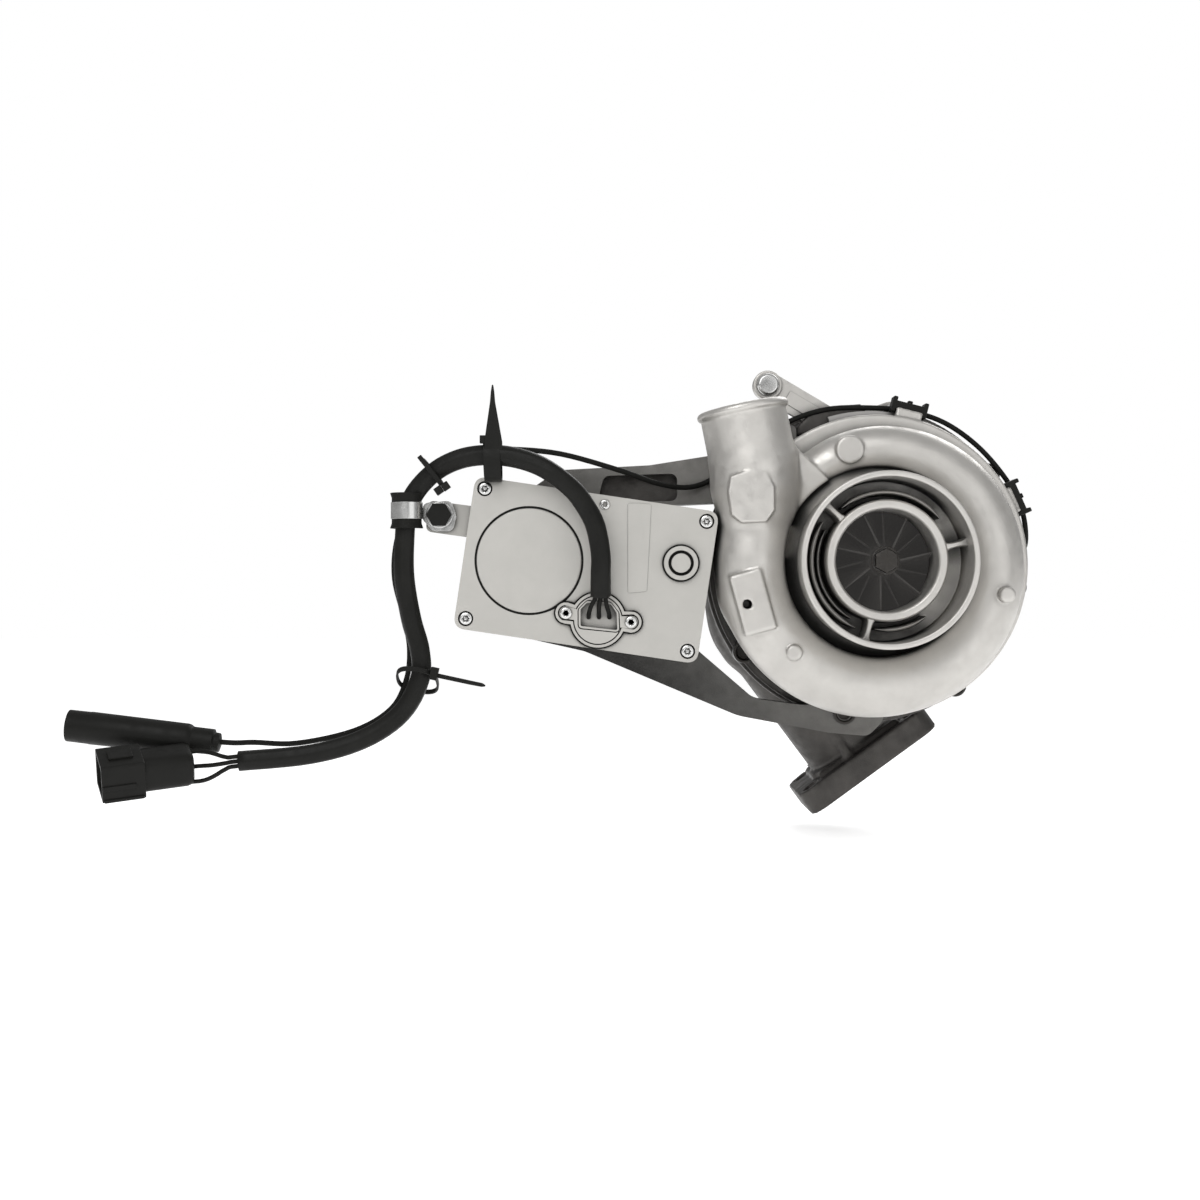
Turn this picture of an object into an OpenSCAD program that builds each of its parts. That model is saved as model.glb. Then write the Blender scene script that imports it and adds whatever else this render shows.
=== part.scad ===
// Turbocharger with an electric vane actuator, its bracket and its harness.
// Millimetres, +Z up. The shaft runs along Y, and the air inlet faces -Y.
// Modules are drawn round the shaft axis, with the inlet lip at y = 0,
// and at_mount() moves them so that the turbine foot's face is the origin.

/* [Compressor] */
// Outer radius of the air inlet hose spigot
inlet_r = 50.8; // [50.4:0.1:51.2]
// Radius of the inlet bore inside the spigot
inlet_bore_r = 47.1; // [46.5:0.1:47.4]
// Radius of the compressor wheel at its inlet
inducer_r = 28.7; // [28:0.1:28.8]
// Radius of the compressor wheel at its outlet
exducer_r = 41; // [40:0.2:41.2]
// Outer radius of the cover's flat rear rim
rim_r = 93; // [92:0.5:94]
// Radius of the scroll's centre line
scroll_mid_r = 72.6; // [72.4:0.1:73]
// Outer radius of the scroll's round section
scroll_tube_r = 16.5; // [16.2:0.1:16.6]
// Outer radius of the air outlet tube
outlet_r = 25.4; // [25:0.1:25.8]

/* [Turbine] */
// Outer radius of the turbine housing's front flange
hot_flange_r = 106; // [104:0.5:108]
// Outer radius of the turbine wheel
turbine_r = 38; // [37:0.1:38.1]
// Length of the turbine foot
foot_length = 98; // [96:1:110]
// Depth of the turbine foot along the shaft
foot_depth = 80; // [76:1:84]
// Thickness of the turbine foot
foot_thick = 16; // [14:0.5:18]
// Radius of the four bolt holes in the foot
foot_hole_r = 5.25; // [4.5:0.25:5.5]

/* [Actuator] */
// Width of the actuator case
case_w = 144.5; // [143:0.5:146]
// Height of the actuator case
case_h = 90; // [89:0.5:92]
// Slope of the actuator case, clockwise from level
case_tilt = 8.4; // [7:0.1:9]
// Length of the output lever and of the crank
lever_length = 22; // [20:0.5:23]

/* [Harness] */
// Outer diameter of the harness conduit
conduit_d = 12; // [11:0.5:12]
// Diameter of the speed sensor's lead
lead_d = 3.2; // [2.8:0.1:3.4]
// Diameter of each wire beyond the conduit
wire_d = 2.6; // [2.2:0.1:2.8]

/* [Hidden] */
$fn = 64;

cast_silver = "#c9c6c0";
machined = "#d6d6d6";
iron = "#4a4744";
dark_iron = "#3b3836";
steel = "#8d8f91";
bronze = "#a98a50";
black = "#1c1c1c";
plate_grey = "#c2c2bd";

fit = 0.05;
gap = 0.3;

// Direction of the turbine foot: its face looks down and to the right
foot_tilt = 36;
foot_offset = -68;
foot_reach = 113.5;
foot_y = 175;
foot_pos = [
    foot_offset * cos(foot_tilt) + foot_reach * sin(foot_tilt),
    foot_y,
    foot_offset * sin(foot_tilt) - foot_reach * cos(foot_tilt)
];

// Places along the shaft
ring_face_y = 13;
wheel_front_y = 28;
diffuser_y = 60.6;
wheel_back_y = 66;
backplate_y = 66.6;
rim_front_y = 70;
rim_back_y = 83;
bearing_flange_y = 104;
hot_flange_y = 112;
unison_y = 116;
vane_arm_y = 120.5;
nozzle_ring_y = 125;
vane_y = 131;
shroud_y = 141.9;
turbine_end_y = 225;
waist_y = 96;

// The scroll is off centre, because it grows on its way round
scroll_shift = [-3, -4];
scroll_y = 57.5;

// Bolt circles
cover_bolt_circle = 86.5;
flange_bolt_r = 93;
flange_bolt_first = 216;
flange_bolt_pitch = 45;
bracket_top_bolt = 2;
lift_bolt = 3;
bracket_low_bolt = 7;

// Vane mechanism
vane_count = 9;
vane_pivot_r = 48;
vane_arm = 11;
crank_pos = [-75, -1];
crank_inner_arm = 12;
shaft_pos = [-117, -1];

// Actuator
case_pos = [-172.5, -5];
case_front_y = 40;
case_joint_y = 50;
case_back_y = 90;
case_corner = 7;
case_wall = 3.5;
motor_pos = [-206, 0.5];
idler_pos = [-170.3, -11.7];
motor_cap_r = 30.7;
fine_module = 1.25;
coarse_module = 1.5;

// Bolts from the bracket into the back of the case
case_bolts = [[-220, -20], [-160, -30], [-160, 36]];
case_bolt_r = 3;

// Clamp on the harness
clamp_pos = [-277.5, 40.5, 29.7];
clamp_bolt_pos = [-259, 27.5];
clamp_bolt_r = 4;
clamp_half_width = 4.7;

// Centre line of the harness conduit
conduit_route = [
    [-164, 31, -20], [-164, 27, -8], [-164, 26, 4], [-167, 26, 20], [-173, 26, 32],
    [-182, 26, 43], [-199, 27, 55], [-219, 30, 61], [-240, 34, 61], [-257, 37, 55],
    [-270, 40, 44], [-277, 40.5, 31], [-279, 40.5, 12], [-279, 40, -10],
    [-275, 40, -34], [-270, 40, -52], [-270, 40, -69], [-281, 40, -89],
    [-303, 40, -104], [-334, 40, -113], [-376, 40, -117]
];

// Centre line of the speed sensor's lead, from its connector to the sensor
lead_route = [
    [-392, 68, -108], [-372, 66, -108], [-345, 60, -108], [-310, 53, -100],
    [-288, 50, -87], [-279, 50, -70], [-277, 50, -52], [-280, 50, -34],
    [-286, 51, -10], [-285, 53, 12], [-278, 54, 31], [-272, 52, 46],
    [-258, 49, 60], [-240, 45, 66], [-219, 42, 66], [-188, 52, 64],
    [-152, 66, 55], [-130, 76, 48], [-112, 84, 46], [-98, 88, 50],
    [-84, 88, 60], [-70, 88, 73], [-50, 88, 86], [-26, 88, 94],
    [0, 88, 95], [24, 88, 93], [46, 88, 86], [66, 88, 72],
    [82, 88, 54], [92, 88, 37], [96, 89, 22], [96, 93, 9], [88, 96, 2],
    [76, 96, 0], [66, 96, 0]
];

// Wires between the conduit and the square connector, and at the case
wire_space = 2.8;

// ---- helpers ----

// Moves a shape drawn round the shaft so that the foot's face is the origin
module at_mount() {
    translate(-foot_pos) children();
}

// Turns a shape about the shaft by an angle seen from the inlet
module spun(angle) {
    rotate([0, -angle, 0]) children();
}

// Solid of revolution about the shaft, from [radius, y] points
module turned(points) {
    rotate([-90, 0, 0]) rotate_extrude($fn = 96) polygon(points);
}

// Plain ring about the shaft
module hoop(inner, outer, y0, y1) {
    turned([[inner, y0], [outer, y0], [outer, y1], [inner, y1]]);
}

// Round rod along Y at [x, z]
module rod(at, y0, y1, r) {
    translate([at[0], y0, at[1]]) rotate([-90, 0, 0]) cylinder(r = r, h = y1 - y0);
}

// Outline drawn in x and z, made solid from y0 to y1
module slab(y0, y1) {
    translate([0, y1, 0]) rotate([90, 0, 0]) linear_extrude(y1 - y0) children();
}

// Round-ended bar between two points of an outline
module bar(from, to, width) {
    run = to - from;
    translate(from) circle(d = width);
    translate(to) circle(d = width);
    translate(from)
        rotate(atan2(run[1], run[0]))
            translate([0, -width / 2])
                square([norm(run), width]);
}

// Square-ended strip between two points of an outline
module strip(from, to, width) {
    run = to - from;
    translate(from) rotate(atan2(run[1], run[0])) translate([0, -width / 2]) square([norm(run), width]);
}

// Rectangle with round corners, about its centre
module round_rect(w, h, r) {
    square([w - 2 * r, h], center = true);
    square([w, h - 2 * r], center = true);
    for (x = [-1, 1], z = [-1, 1])
        translate([x * (w / 2 - r), z * (h / 2 - r)]) circle(r = r);
}

// Children placed in the actuator's sloping frame
module in_case() {
    translate([case_pos[0], 0, case_pos[1]]) rotate([0, case_tilt, 0]) children();
}

// Hexagon head or nut along Y
module hexagon(at, y0, y1, across) {
    translate([at[0], y0, at[1]])
        rotate([-90, 0, 0])
            cylinder(d = across / cos(30), h = y1 - y0, $fn = 6);
}

// Point on a circle about the shaft
function polar(r, angle) = [r * cos(angle), r * sin(angle)];

// Round passage in a full turn about the shaft
module round_duct(mid, y, r) {
    rotate([-90, 0, 0]) rotate_extrude($fn = 96) translate([mid, y]) circle(r = r);
}

// Faces of a closed tube of count rings
function tube_faces(count, sides) = concat(
    [[for (k = [0:sides - 1]) k]],
    [for (i = [0:count - 2]) for (k = [0:sides - 1])
        let (a = i * sides + k, b = i * sides + (k + 1) % sides)
            [a, a + sides, b]],
    [for (i = [0:count - 2]) for (k = [0:sides - 1])
        let (a = i * sides + k, b = i * sides + (k + 1) % sides)
            [b, a + sides, b + sides]],
    [[for (k = [sides - 1:-1:0]) (count - 1) * sides + k]]
);

// Point on the smooth curve through four route points
function curve(a, b, c, d, t) =
    0.5 * (2 * b + (c - a) * t + (2 * a - 5 * b + 4 * c - d) * t * t
           + (3 * b - a - 3 * c + d) * t * t * t);

// Route with steps points between each pair of its own
function smooth(route, steps) = let (last = len(route) - 1) concat(
    [for (i = [0:last - 1]) for (s = [0:steps - 1])
        curve(route[max(i - 1, 0)], route[i], route[i + 1],
              route[min(i + 2, last)], s / steps)],
    [route[last]]
);

function unit(v) = v / norm(v);

// Round tube along a line of points, none of it running along Y
module tube(line, r, sides) {
    last = len(line) - 1;
    points = [
        for (i = [0:last])
            let (along = unit(line[min(i + 1, last)] - line[max(i - 1, 0)]),
                 side = unit(cross(along, [0, 1, 0])),
                 up = cross(side, along))
                for (k = [0:sides - 1])
                    line[i] + r * (cos(360 * k / sides) * side + sin(360 * k / sides) * up)
    ];
    polyhedron(points, tube_faces(last + 1, sides));
}

// Spur gear outline with slim teeth, which leave a wide backlash
module gear_outline(teeth, size, from_tooth, to_tooth) {
    root_r = size * (teeth / 2 - 1.25);
    tip_r = size * (teeth / 2 + 0.9);
    pitch = 360 / teeth;
    polygon([
        for (k = [from_tooth:to_tooth]) let (a = k * pitch)
            each [
                polar(root_r, a - 0.29 * pitch), polar(tip_r, a - 0.08 * pitch),
                polar(tip_r, a + 0.08 * pitch), polar(root_r, a + 0.29 * pitch)
            ]
    ]);
}

// ---- compressor ----

// Compressor scroll, wall thickness taken off
module scroll(wall) {
    translate([scroll_shift[0], 0, scroll_shift[1]]) round_duct(scroll_mid_r, scroll_y, scroll_tube_r - wall);
}

outlet_lean = 11.5;
outlet_pos = [-80.6, 50, 92];

// Outlet spigot shape along its leaning axis, downwards from the rim
module outlet_rod(r, z0, z1) {
    translate(outlet_pos)
        rotate([0, -outlet_lean, 0])
            translate([0, 0, z0])
                cylinder(r = r, h = z1 - z0);
}

neck_pos = [-72.5, 51, 0];
neck_r = 21.5;
elbow_pos = [-71.6, 50, 48];

// Air path beyond the scroll: straight neck, elbow and leaning tube
module outlet_neck(wall) {
    translate(neck_pos) cylinder(r = neck_r - wall, h = elbow_pos[2]);
    translate(elbow_pos) sphere(r = outlet_r + 0.9 - wall);
    outlet_rod(outlet_r - wall, -46, 0);
}

// Shroud curve from the inducer bore out to the diffuser
function shroud_curve(slack) = [
    for (a = [0:10:90])
        [42 - (42 - inducer_r - 0.6 + slack) * sin(a), 44 + (diffuser_y - 44 + slack) * cos(a)]
];

module compressor_cover() color(cast_silver) at_mount() {
    difference() {
        union() {
            difference() {
                union() {
                    scroll(0);
                    outlet_neck(0);
                    outlet_rod(outlet_r + 1.6, -5, 0);
                }
                scroll(4);
                outlet_neck(3.5);
                outlet_rod(outlet_r - 3.5, -10, 1);
            }
            turned(concat(
                shroud_curve(0),
                [[inducer_r + 0.6, ring_face_y], [35, ring_face_y], [35, 38],
                 [inlet_bore_r, 38], [inlet_bore_r, 0], [inlet_r, 0],
                 [inlet_r, 6], [inlet_r - 1.4, 8], [inlet_r - 1.4, 44],
                 [58, 52], [58, diffuser_y]]
            ));
            hoop(62.3, rim_r, rim_front_y, 78);
            hoop(80.3, rim_r, 78, rim_back_y);
            for (a = [137, 13, -105])
                spun(a) translate([34, 14, -1.5]) cube([14, 24.5, 3]);
            rod([-17.2, 66.1], 44, 60, 8.3);
            rod([72.7, -19.6], 40, 56, 4.7);
            rod([-51.5, -53.3], 37, 56, 4.7);
        }
        hoop(42, 64, diffuser_y, backplate_y + 0.1);
        hoop(0, 62.3, backplate_y, rim_back_y + 10);
        rod([-79, -25], 20, 38, 2.7);
        for (k = [0:5])
            rod(polar(cover_bolt_circle, 30 + 60 * k), 72, rim_back_y + 1, 3);
    }
}

module compressor_wheel() color(dark_iron) at_mount() {
    shaft_hole = 4;
    difference() {
        union() {
            turned([[0, 22], [8.5, 22], [9, 32], [12, 44], [18, 54], [28, 61],
                    [exducer_r, 64], [exducer_r, wheel_back_y], [0, wheel_back_y]]);
            intersection() {
                turned(concat(
                    [for (p = shroud_curve(0.6)) if (p[0] < exducer_r) p],
                    [[inducer_r - 0.2, wheel_front_y], [0, wheel_front_y],
                     [0, 65], [exducer_r, 65], [exducer_r, diffuser_y + 0.6]]
                ));
                for (k = [0:13])
                    spun(k * 360 / 14)
                        translate([5, k % 2 == 0 ? wheel_front_y : 37, -0.6])
                            cube([exducer_r, 40, 1.2]);
            }
        }
        rod([0, 0], 20, 70, shaft_hole);
    }
}

module compressor_locknut() color(steel) at_mount() {
    difference() {
        union() {
            hexagon([0, 0], 15, 20.5, 13);
            hoop(0, 8.4, 20.5, 22);
        }
        rod([0, 0], 14, 23, 4);
    }
}

module compressor_backplate() color(machined) at_mount() {
    difference() {
        turned([[9, backplate_y], [62, backplate_y], [62, 78], [80, 78],
                [80, rim_back_y], [26, rim_back_y], [26, 80], [9, 80]]);
        hoop(59.4, 63, 70.4, 73.6);
        for (k = [0:5])
            rod(polar(45, 60 * k), backplate_y - 1, rim_back_y + 1, 3);
        for (k = [0:5])
            rod(polar(45, 60 * k), backplate_y - 1, 73, 5);
    }
}

module backplate_screws() color(steel) at_mount() {
    for (k = [0:5]) {
        rod(polar(45, 60 * k), 67.4, 73, 4.8);
        rod(polar(45, 60 * k), 73, 89, 3);
    }
}

module backplate_o_ring() color(black) at_mount() {
    rotate([-90, 0, 0])
        translate([0, 0, 72])
            rotate_extrude($fn = 96)
                translate([60.9, 0])
                    circle(r = 1.35, $fn = 24);
}

module cover_clamp_plates() color(steel) at_mount() {
    for (k = [0:2])
        difference() {
            intersection() {
                hoop(75, 92.5, rim_back_y, 86);
                spun(120 * k + 60) slab(82, 87)
                    polygon([[0, 0], polar(140, -46), polar(140, 46)]);
            }
            for (side = [-30, 30])
                rod(polar(cover_bolt_circle, 120 * k + 60 + side), 82, 87, 3);
        }
}

module cover_bolts() color(steel) at_mount() {
    for (k = [0:5]) {
        rod(polar(cover_bolt_circle, 30 + 60 * k), 72, 86, 3);
        hexagon(polar(cover_bolt_circle, 30 + 60 * k), 86, 89.7, 10);
    }
}

// ---- shaft and bearings ----

module oil_flinger() color(steel) at_mount() {
    turned([[4, wheel_back_y], [8.7, wheel_back_y], [8.7, 71], [7.5, 71],
            [7.5, 72.6], [8.7, 72.6], [8.7, 79], [4, 79]]);
}

module thrust_bearing() color(bronze) at_mount() {
    difference() {
        hoop(6.5 + gap, 25.7, 80.2, rim_back_y);
        translate([-3, 79, -30]) cube([6, 6, 12]);
    }
}

module journal_bearing_front() color(bronze) at_mount()
    hoop(6.5 + fit, 9.5, 85, 93);

module journal_bearing_rear() color(bronze) at_mount()
    hoop(6.5 + fit, 9.5, 106, 114);

module shaft_seal_rings() color(steel) at_mount() {
    hoop(7.8, 9, 71.2, 72.4);
    hoop(8.2, 9.3, 120.2, 121.4);
}

// Radial boss from the bearing housing's waist, at an angle seen from the inlet
module waist_rod(angle, r, from, to) {
    spun(angle) translate([from, waist_y, 0]) rotate([0, 90, 0]) cylinder(r = r, h = to - from);
}

oil_inlet_angle = 58;
oil_drain_angle = -76.5;

module bearing_housing() color(iron) at_mount() {
    difference() {
        union() {
            turned([[9.5, rim_back_y], [55, rim_back_y], [55, 89], [40, 93], [38, bearing_flange_y],
                    [100, bearing_flange_y], [100, hot_flange_y], [52.95, hot_flange_y],
                    [52.95, 120], [36, 120], [36, 127], [9.3, 127], [9.3, 117], [9.5, 117]]);
            waist_rod(oil_inlet_angle, 12, 30, 52);
            waist_rod(oil_drain_angle, 12.5, 30, 62);
            waist_rod(0, 9, 30, 56);
        }
        hoop(9, 28, 95, 104);
        hoop(9, 22, 82, 84.8);
        waist_rod(oil_inlet_angle, 5, 20, 53);
        waist_rod(oil_drain_angle, 7.5, 20, 63);
        waist_rod(0, 5, 20, 57);
        for (side = [-1, 1])
            spun(oil_drain_angle)
                translate([48, waist_y, side * 9.6]) rotate([0, 90, 0]) cylinder(r = 1.4, h = 15);
        for (k = [0:7])
            rod(polar(flange_bolt_r, flange_bolt_first + flange_bolt_pitch * k), 100, 113, 4);
        for (k = [0:5])
            rod(polar(45, 60 * k), 82, 89, 3);
        rod(crank_pos, 100, 113, 9);
    }
}

module turbine_shaft_wheel() color(steel) at_mount() {
    turned([[0, 16], [4, 16], [4, 79], [6.5, 79], [6.5, 117], [9, 117], [9, 120],
            [7.9, 120], [7.9, 121.6], [9, 121.6], [9, 128], [14, 130.8],
            [turbine_r - 2, 131.4], [turbine_r - 2, 133], [22, 143], [14, 155],
            [10, 168], [7, 172], [0, 172]]);
    intersection() {
        turned([[8, 131.6], [turbine_r, 131.6], [turbine_r, 141.4], [34, 144], [31.6, 149],
                [30.8, 156], [30.8, 165], [8, 165]]);
        for (k = [0:10])
            spun(k * 360 / 11) translate([5, 130, -0.8]) cube([turbine_r, 36, 1.6]);
    }
}

module heat_shield() color(steel) at_mount() {
    turned([[16, 128.2], [36.5, 128.2], [36.5, 126], [39.6, 126], [39.6, 129.4], [16, 129.4]]);
}

// ---- turbine ----

// Duct from the foot's face up to the wide end of the volute
module hot_duct(r, z0, z1) {
    on_foot() rotate([-12.6, -4, 0]) translate([0, 0, z0]) cylinder(r = r, h = z1 - z0);
}

// Children placed on the foot's face, +Z out of the face and X along it
module on_foot() {
    translate(foot_pos) rotate([0, 180 - foot_tilt, 0]) children();
}

foot_hole_x = 39;
foot_hole_y = 29;

module turbine_housing() color(iron) at_mount() {
    difference() {
        union() {
            difference() {
                union() {
                    round_duct(76, 149.5, 23);
                    hot_duct(28, -118, -6);
                    hoop(85, 96, 118, 131);
                }
                round_duct(76, 149.5, 17.5);
                hot_duct(22, -118, -6);
            }
            hoop(85, hot_flange_r, hot_flange_y, 122);
            turned([[38.5, shroud_y], [56, shroud_y], [56, 152], [46, 170], [47, 216],
                    [54, 218], [54, turbine_end_y], [42, turbine_end_y], [38, 205],
                    [31.4, 168], [31.4, 156], [32.4, 149], [35, 144.5]]);
            on_foot()
                translate([0, 0, -foot_thick])
                    linear_extrude(foot_thick)
                        round_rect(foot_length, foot_depth, 12);
        }
        hoop(0, 85, 100, 131);
        hoop(38.5, 68, 130, shroud_y);
        hoop(0, 31.4, 140, 170);
        on_foot() translate([0, 0, -foot_thick - 6]) linear_extrude(30) round_rect(50, 44, 8);
        for (x = [-1, 1], y = [-1, 1])
            on_foot()
                translate([x * foot_hole_x, y * foot_hole_y, -40])
                    cylinder(r = foot_hole_r, h = 60);
        for (k = [0:7])
            rod(polar(flange_bolt_r, flange_bolt_first + flange_bolt_pitch * k), 111, 120, 4);
    }
}

module flange_bolts() color(steel) at_mount() {
    for (k = [0:7])
        if (k != 1 && k != bracket_top_bolt && k != lift_bolt && k != bracket_low_bolt)
            let (at = polar(flange_bolt_r, flange_bolt_first - flange_bolt_pitch * k)) {
                rod(at, 104, 119, 4);
                rod(at, 102.5, 104, 7);
                hexagon(at, 97, 102.5, 11);
            }
}

module nozzle_ring() color(steel) at_mount() {
    difference() {
        hoop(40, 84.6, nozzle_ring_y, vane_y);
        for (k = [0:vane_count - 1])
            rod(polar(vane_pivot_r, 40 * k), 124, 132, 2.5 + fit);
    }
}

module unison_ring() color(steel) at_mount() {
    slot = 5;
    difference() {
        hoop(53, 70, unison_y, 120);
        for (k = [0:vane_count - 1])
            spun(40 * k)
                translate([vane_pivot_r + vane_arm - 4, 115, -2.4]) cube([7, 6, 4.8]);
        translate([-67.8, 115, crank_pos[1] - slot / 2 - 0.6]) cube([8.3, 6, slot + 1.2]);
    }
}

// Nozzle vane with its pivot pin and arm, at one of the nine places
module vane(place) {
    spun(40 * place) translate([vane_pivot_r, 0, 0]) {
        rod([0, 0], vane_arm_y, vane_y + 0.6, 2.5);
        slab(vane_arm_y, 123.5) bar([0, 0], [vane_arm, 0], 7);
        rod([vane_arm, 0], unison_y + 0.3, vane_arm_y, 2);
        slab(vane_y + 0.3, shroud_y - 0.3)
            rotate(60)
                polygon([[-9, 0], [-7, 1.4], [-2, 2.4], [3, 1.9], [9, 0],
                         [3, -1.2], [-2, -1.6], [-7, -1.1]]);
    }
}

module vane_crank() color(steel) at_mount() {
    pin = crank_pos + [0, lever_length];
    inner = crank_pos + [crank_inner_arm, 0];
    rod(crank_pos, 92, 115.4, 6);
    slab(92, 96.5) bar(crank_pos, pin, 13);
    rod(pin, 96, 101.5, 3);
    slab(112.4, 115.4) bar(crank_pos, inner, 12);
    rod(inner, 115, 119.7, 2.4);
}

module crank_bush() color(bronze) at_mount() {
    difference() {
        rod(crank_pos, 104, hot_flange_y, 9);
        rod(crank_pos, 103, 113, 6 + fit);
    }
}

module link_rod() color(steel) at_mount() {
    lever_pin = shaft_pos + [0, lever_length];
    crank_pin = crank_pos + [0, lever_length];
    slab(97, 101)
        difference() {
            union() {
                bar(lever_pin, crank_pin, 7);
                translate(lever_pin) circle(r = 6.5);
                translate(crank_pin) circle(r = 6.5);
            }
            translate(lever_pin) circle(r = 3 + fit);
            translate(crank_pin) circle(r = 3 + gap);
        }
}

// ---- actuator ----

module output_lever() color(steel) at_mount() {
    pin = shaft_pos + [0, lever_length];
    difference() {
        slab(92, 96.5) bar(shaft_pos, pin, 15);
        rod(shaft_pos, 91, 97, 6);
    }
    rod(pin, 96, 101.5, 3);
}

module case_outline(inset) {
    round_rect(case_w - 2 * inset, case_h - 2 * inset, case_corner - inset / 2);
}

module screw_places() {
    for (x = [-1, 1], z = [-1, 1])
        translate([x * (case_w / 2 - 6.5), 0, z * (case_h / 2 - 6.5)]) children();
}

module actuator_housing() color(plate_grey) at_mount() {
    difference() {
        in_case() slab(case_joint_y, case_back_y) case_outline(0);
        difference() {
            in_case() slab(case_joint_y - 1, 86) case_outline(case_wall);
            in_case() screw_places() rod([0, 0], 48, 88, 5.5);
        }
        in_case() screw_places() rod([0, 0], 49, 66, 2);
        rod(shaft_pos, 85, 91, 9);
        rod(idler_pos, 85, 89, 3 + fit);
        rod(motor_pos, 85, 88, 2.5 + fit);
        for (at = case_bolts) rod(at, 85, 91, case_bolt_r);
        tab_plate();
    }
}

module actuator_front_cover() color(plate_grey) at_mount() {
    difference() {
        in_case() slab(case_front_y, case_joint_y) case_outline(0);
        rod(motor_pos, 39, 43, motor_cap_r + 0.4);
        rod(motor_pos, 39, 51, 27.1);
        rod(shaft_pos, 43, 51, 6 + fit);
        rod(shaft_pos, 39, 42.5, 8.6);
        rod(idler_pos, 46, 51, 3 + fit);
        wire_pocket(39, 47);
        in_case() screw_places() rod([0, 0], 39, 51, 2.1);
        in_case() screw_places() rod([0, 0], 39, 44, 4.3);
        for (ear = plate_ears) rod(ear, 39, 46, 1.5);
    }
}

module front_cover_screws() color(steel) at_mount() {
    in_case() screw_places() {
        rod([0, 0], 40.3, 44, 4.1);
        rod([0, 0], 44, 62, 2);
    }
}

module motor() color(steel) at_mount() {
    rod(motor_pos, 39.4, 42, motor_cap_r);
    rod(motor_pos, 42, 72, 26.8);
}

module motor_pinion() color(steel) at_mount() {
    rod(motor_pos, 72.3, 87, 2.5);
    translate([motor_pos[0], 0, motor_pos[1]])
        slab(73.5, 78.7)
            rotate(idler_to_motor + 180)
                gear_outline(12, fine_module, 0, 11);
}

// A tooth of the pinion and of the sector points at the wheel between them
idler_to_motor = atan2(motor_pos[1] - idler_pos[1], motor_pos[0] - idler_pos[0]);
idler_to_shaft = atan2(shaft_pos[1] - idler_pos[1], shaft_pos[0] - idler_pos[0]);

module intermediate_gear() color(steel) at_mount() {
    rod(idler_pos, 47, 88, 3);
    translate([idler_pos[0], 0, idler_pos[1]]) {
        slab(73.5, 78.5) rotate(idler_to_motor + 180 / 48) gear_outline(48, fine_module, 0, 47);
        slab(78.5, 84.5) rotate(idler_to_shaft + 180 / 12) gear_outline(12, coarse_module, 0, 11);
    }
}

module sector_gear() color(steel) at_mount() {
    rod(shaft_pos, 44, 96.4, 6);
    translate([shaft_pos[0], 0, shaft_pos[1]])
        slab(79, 84)
            rotate(idler_to_shaft + 180)
                difference() {
                    union() {
                        gear_outline(60, coarse_module, -5, 5);
                        circle(r = 12);
                        polygon([[0, -10], polar(44, -30), polar(44, 30), [0, 10]]);
                    }
                    circle(r = 5.5);
                }
}

module output_bush() color(bronze) at_mount() {
    difference() {
        rod(shaft_pos, 85.9, 91, 9);
        rod(shaft_pos, 85, 92, 6 + fit);
    }
}

plate_pos = [-165.6, -34.3];
plate_ears = [[-184.3, -30.2], [-146.3, -35.5]];

// Pocket where the motor's three wires come out
module wire_pocket(y0, y1) {
    translate([-176, y0, -42]) cube([22, y1 - y0, 15]);
}

module connector_plate() color(plate_grey) at_mount() {
    difference() {
        slab(36.8, case_front_y)
            union() {
                translate(plate_pos) circle(r = 16);
                for (ear = plate_ears) {
                    translate(ear) circle(r = 6);
                    strip(plate_pos, ear, 11);
                }
            }
        wire_pocket(36, 41);
        for (ear = plate_ears) rod(ear, 36, 41, 1.6);
    }
}

module connector_plate_screws() color(steel) at_mount() {
    for (ear = plate_ears) {
        rod(ear, 35.2, 36.8, 3.6);
        rod(ear, 36.8, 46, 1.5);
    }
}

module shaft_plug() color(machined) at_mount() {
    rod(shaft_pos, 38.2, case_front_y, 11);
    rod(shaft_pos, case_front_y, 42.4, 8.5);
    rod(shaft_pos, 34.6, 38.3, 7);
}

// ---- bracket and clamp ----

module actuator_bracket() color(dark_iron) at_mount() {
    top = polar(flange_bolt_r, flange_bolt_first - flange_bolt_pitch * bracket_top_bolt);
    low = polar(flange_bolt_r, flange_bolt_first + flange_bolt_pitch);
    difference() {
        slab(case_back_y, bearing_flange_y)
            polygon([[-228, 38], [-214, 40], [-203, 48], [-190, 57], [-134, 60], [-93, 66],
                     top + [-7, 11], top + [7, 11], top + [12, 2], top + [8, -10], [-92, 36],
                     [-150, 34], [-150, -33], [-120, -40], [-70, -83], [-40, -86], [0, -84],
                     [12, -94], [0, -106], [-24, -106], [-80, -94], [-174, -54],
                     [-214, -45], [-228, -30]]);
        rod(top, 88, 98, 8.6);
        rod(low, 88, 98, 8.6);
        rod(top, 88, 105, 4);
        rod(low, 88, 105, 4);
        slab(88, 98) {
            translate([-148, 44]) round_rect(56, 12, 4);
            translate([-196, 20]) round_rect(34, 40, 6);
        }
        for (at = case_bolts) rod(at, 88, 105, case_bolt_r);
    }
}

module bracket_bolts() color(steel) at_mount() {
    for (a = [flange_bolt_first - flange_bolt_pitch * bracket_top_bolt,
              flange_bolt_first + flange_bolt_pitch]) {
        rod(polar(flange_bolt_r, a), 98, 119, 4);
        rod(polar(flange_bolt_r, a), 96.5, 98, 7);
        hexagon(polar(flange_bolt_r, a), 91, 96.5, 11);
    }
    for (at = case_bolts) {
        rod(at, 86.2, 104, case_bolt_r);
        hexagon(at, 104, 109, 10);
    }
}

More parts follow.
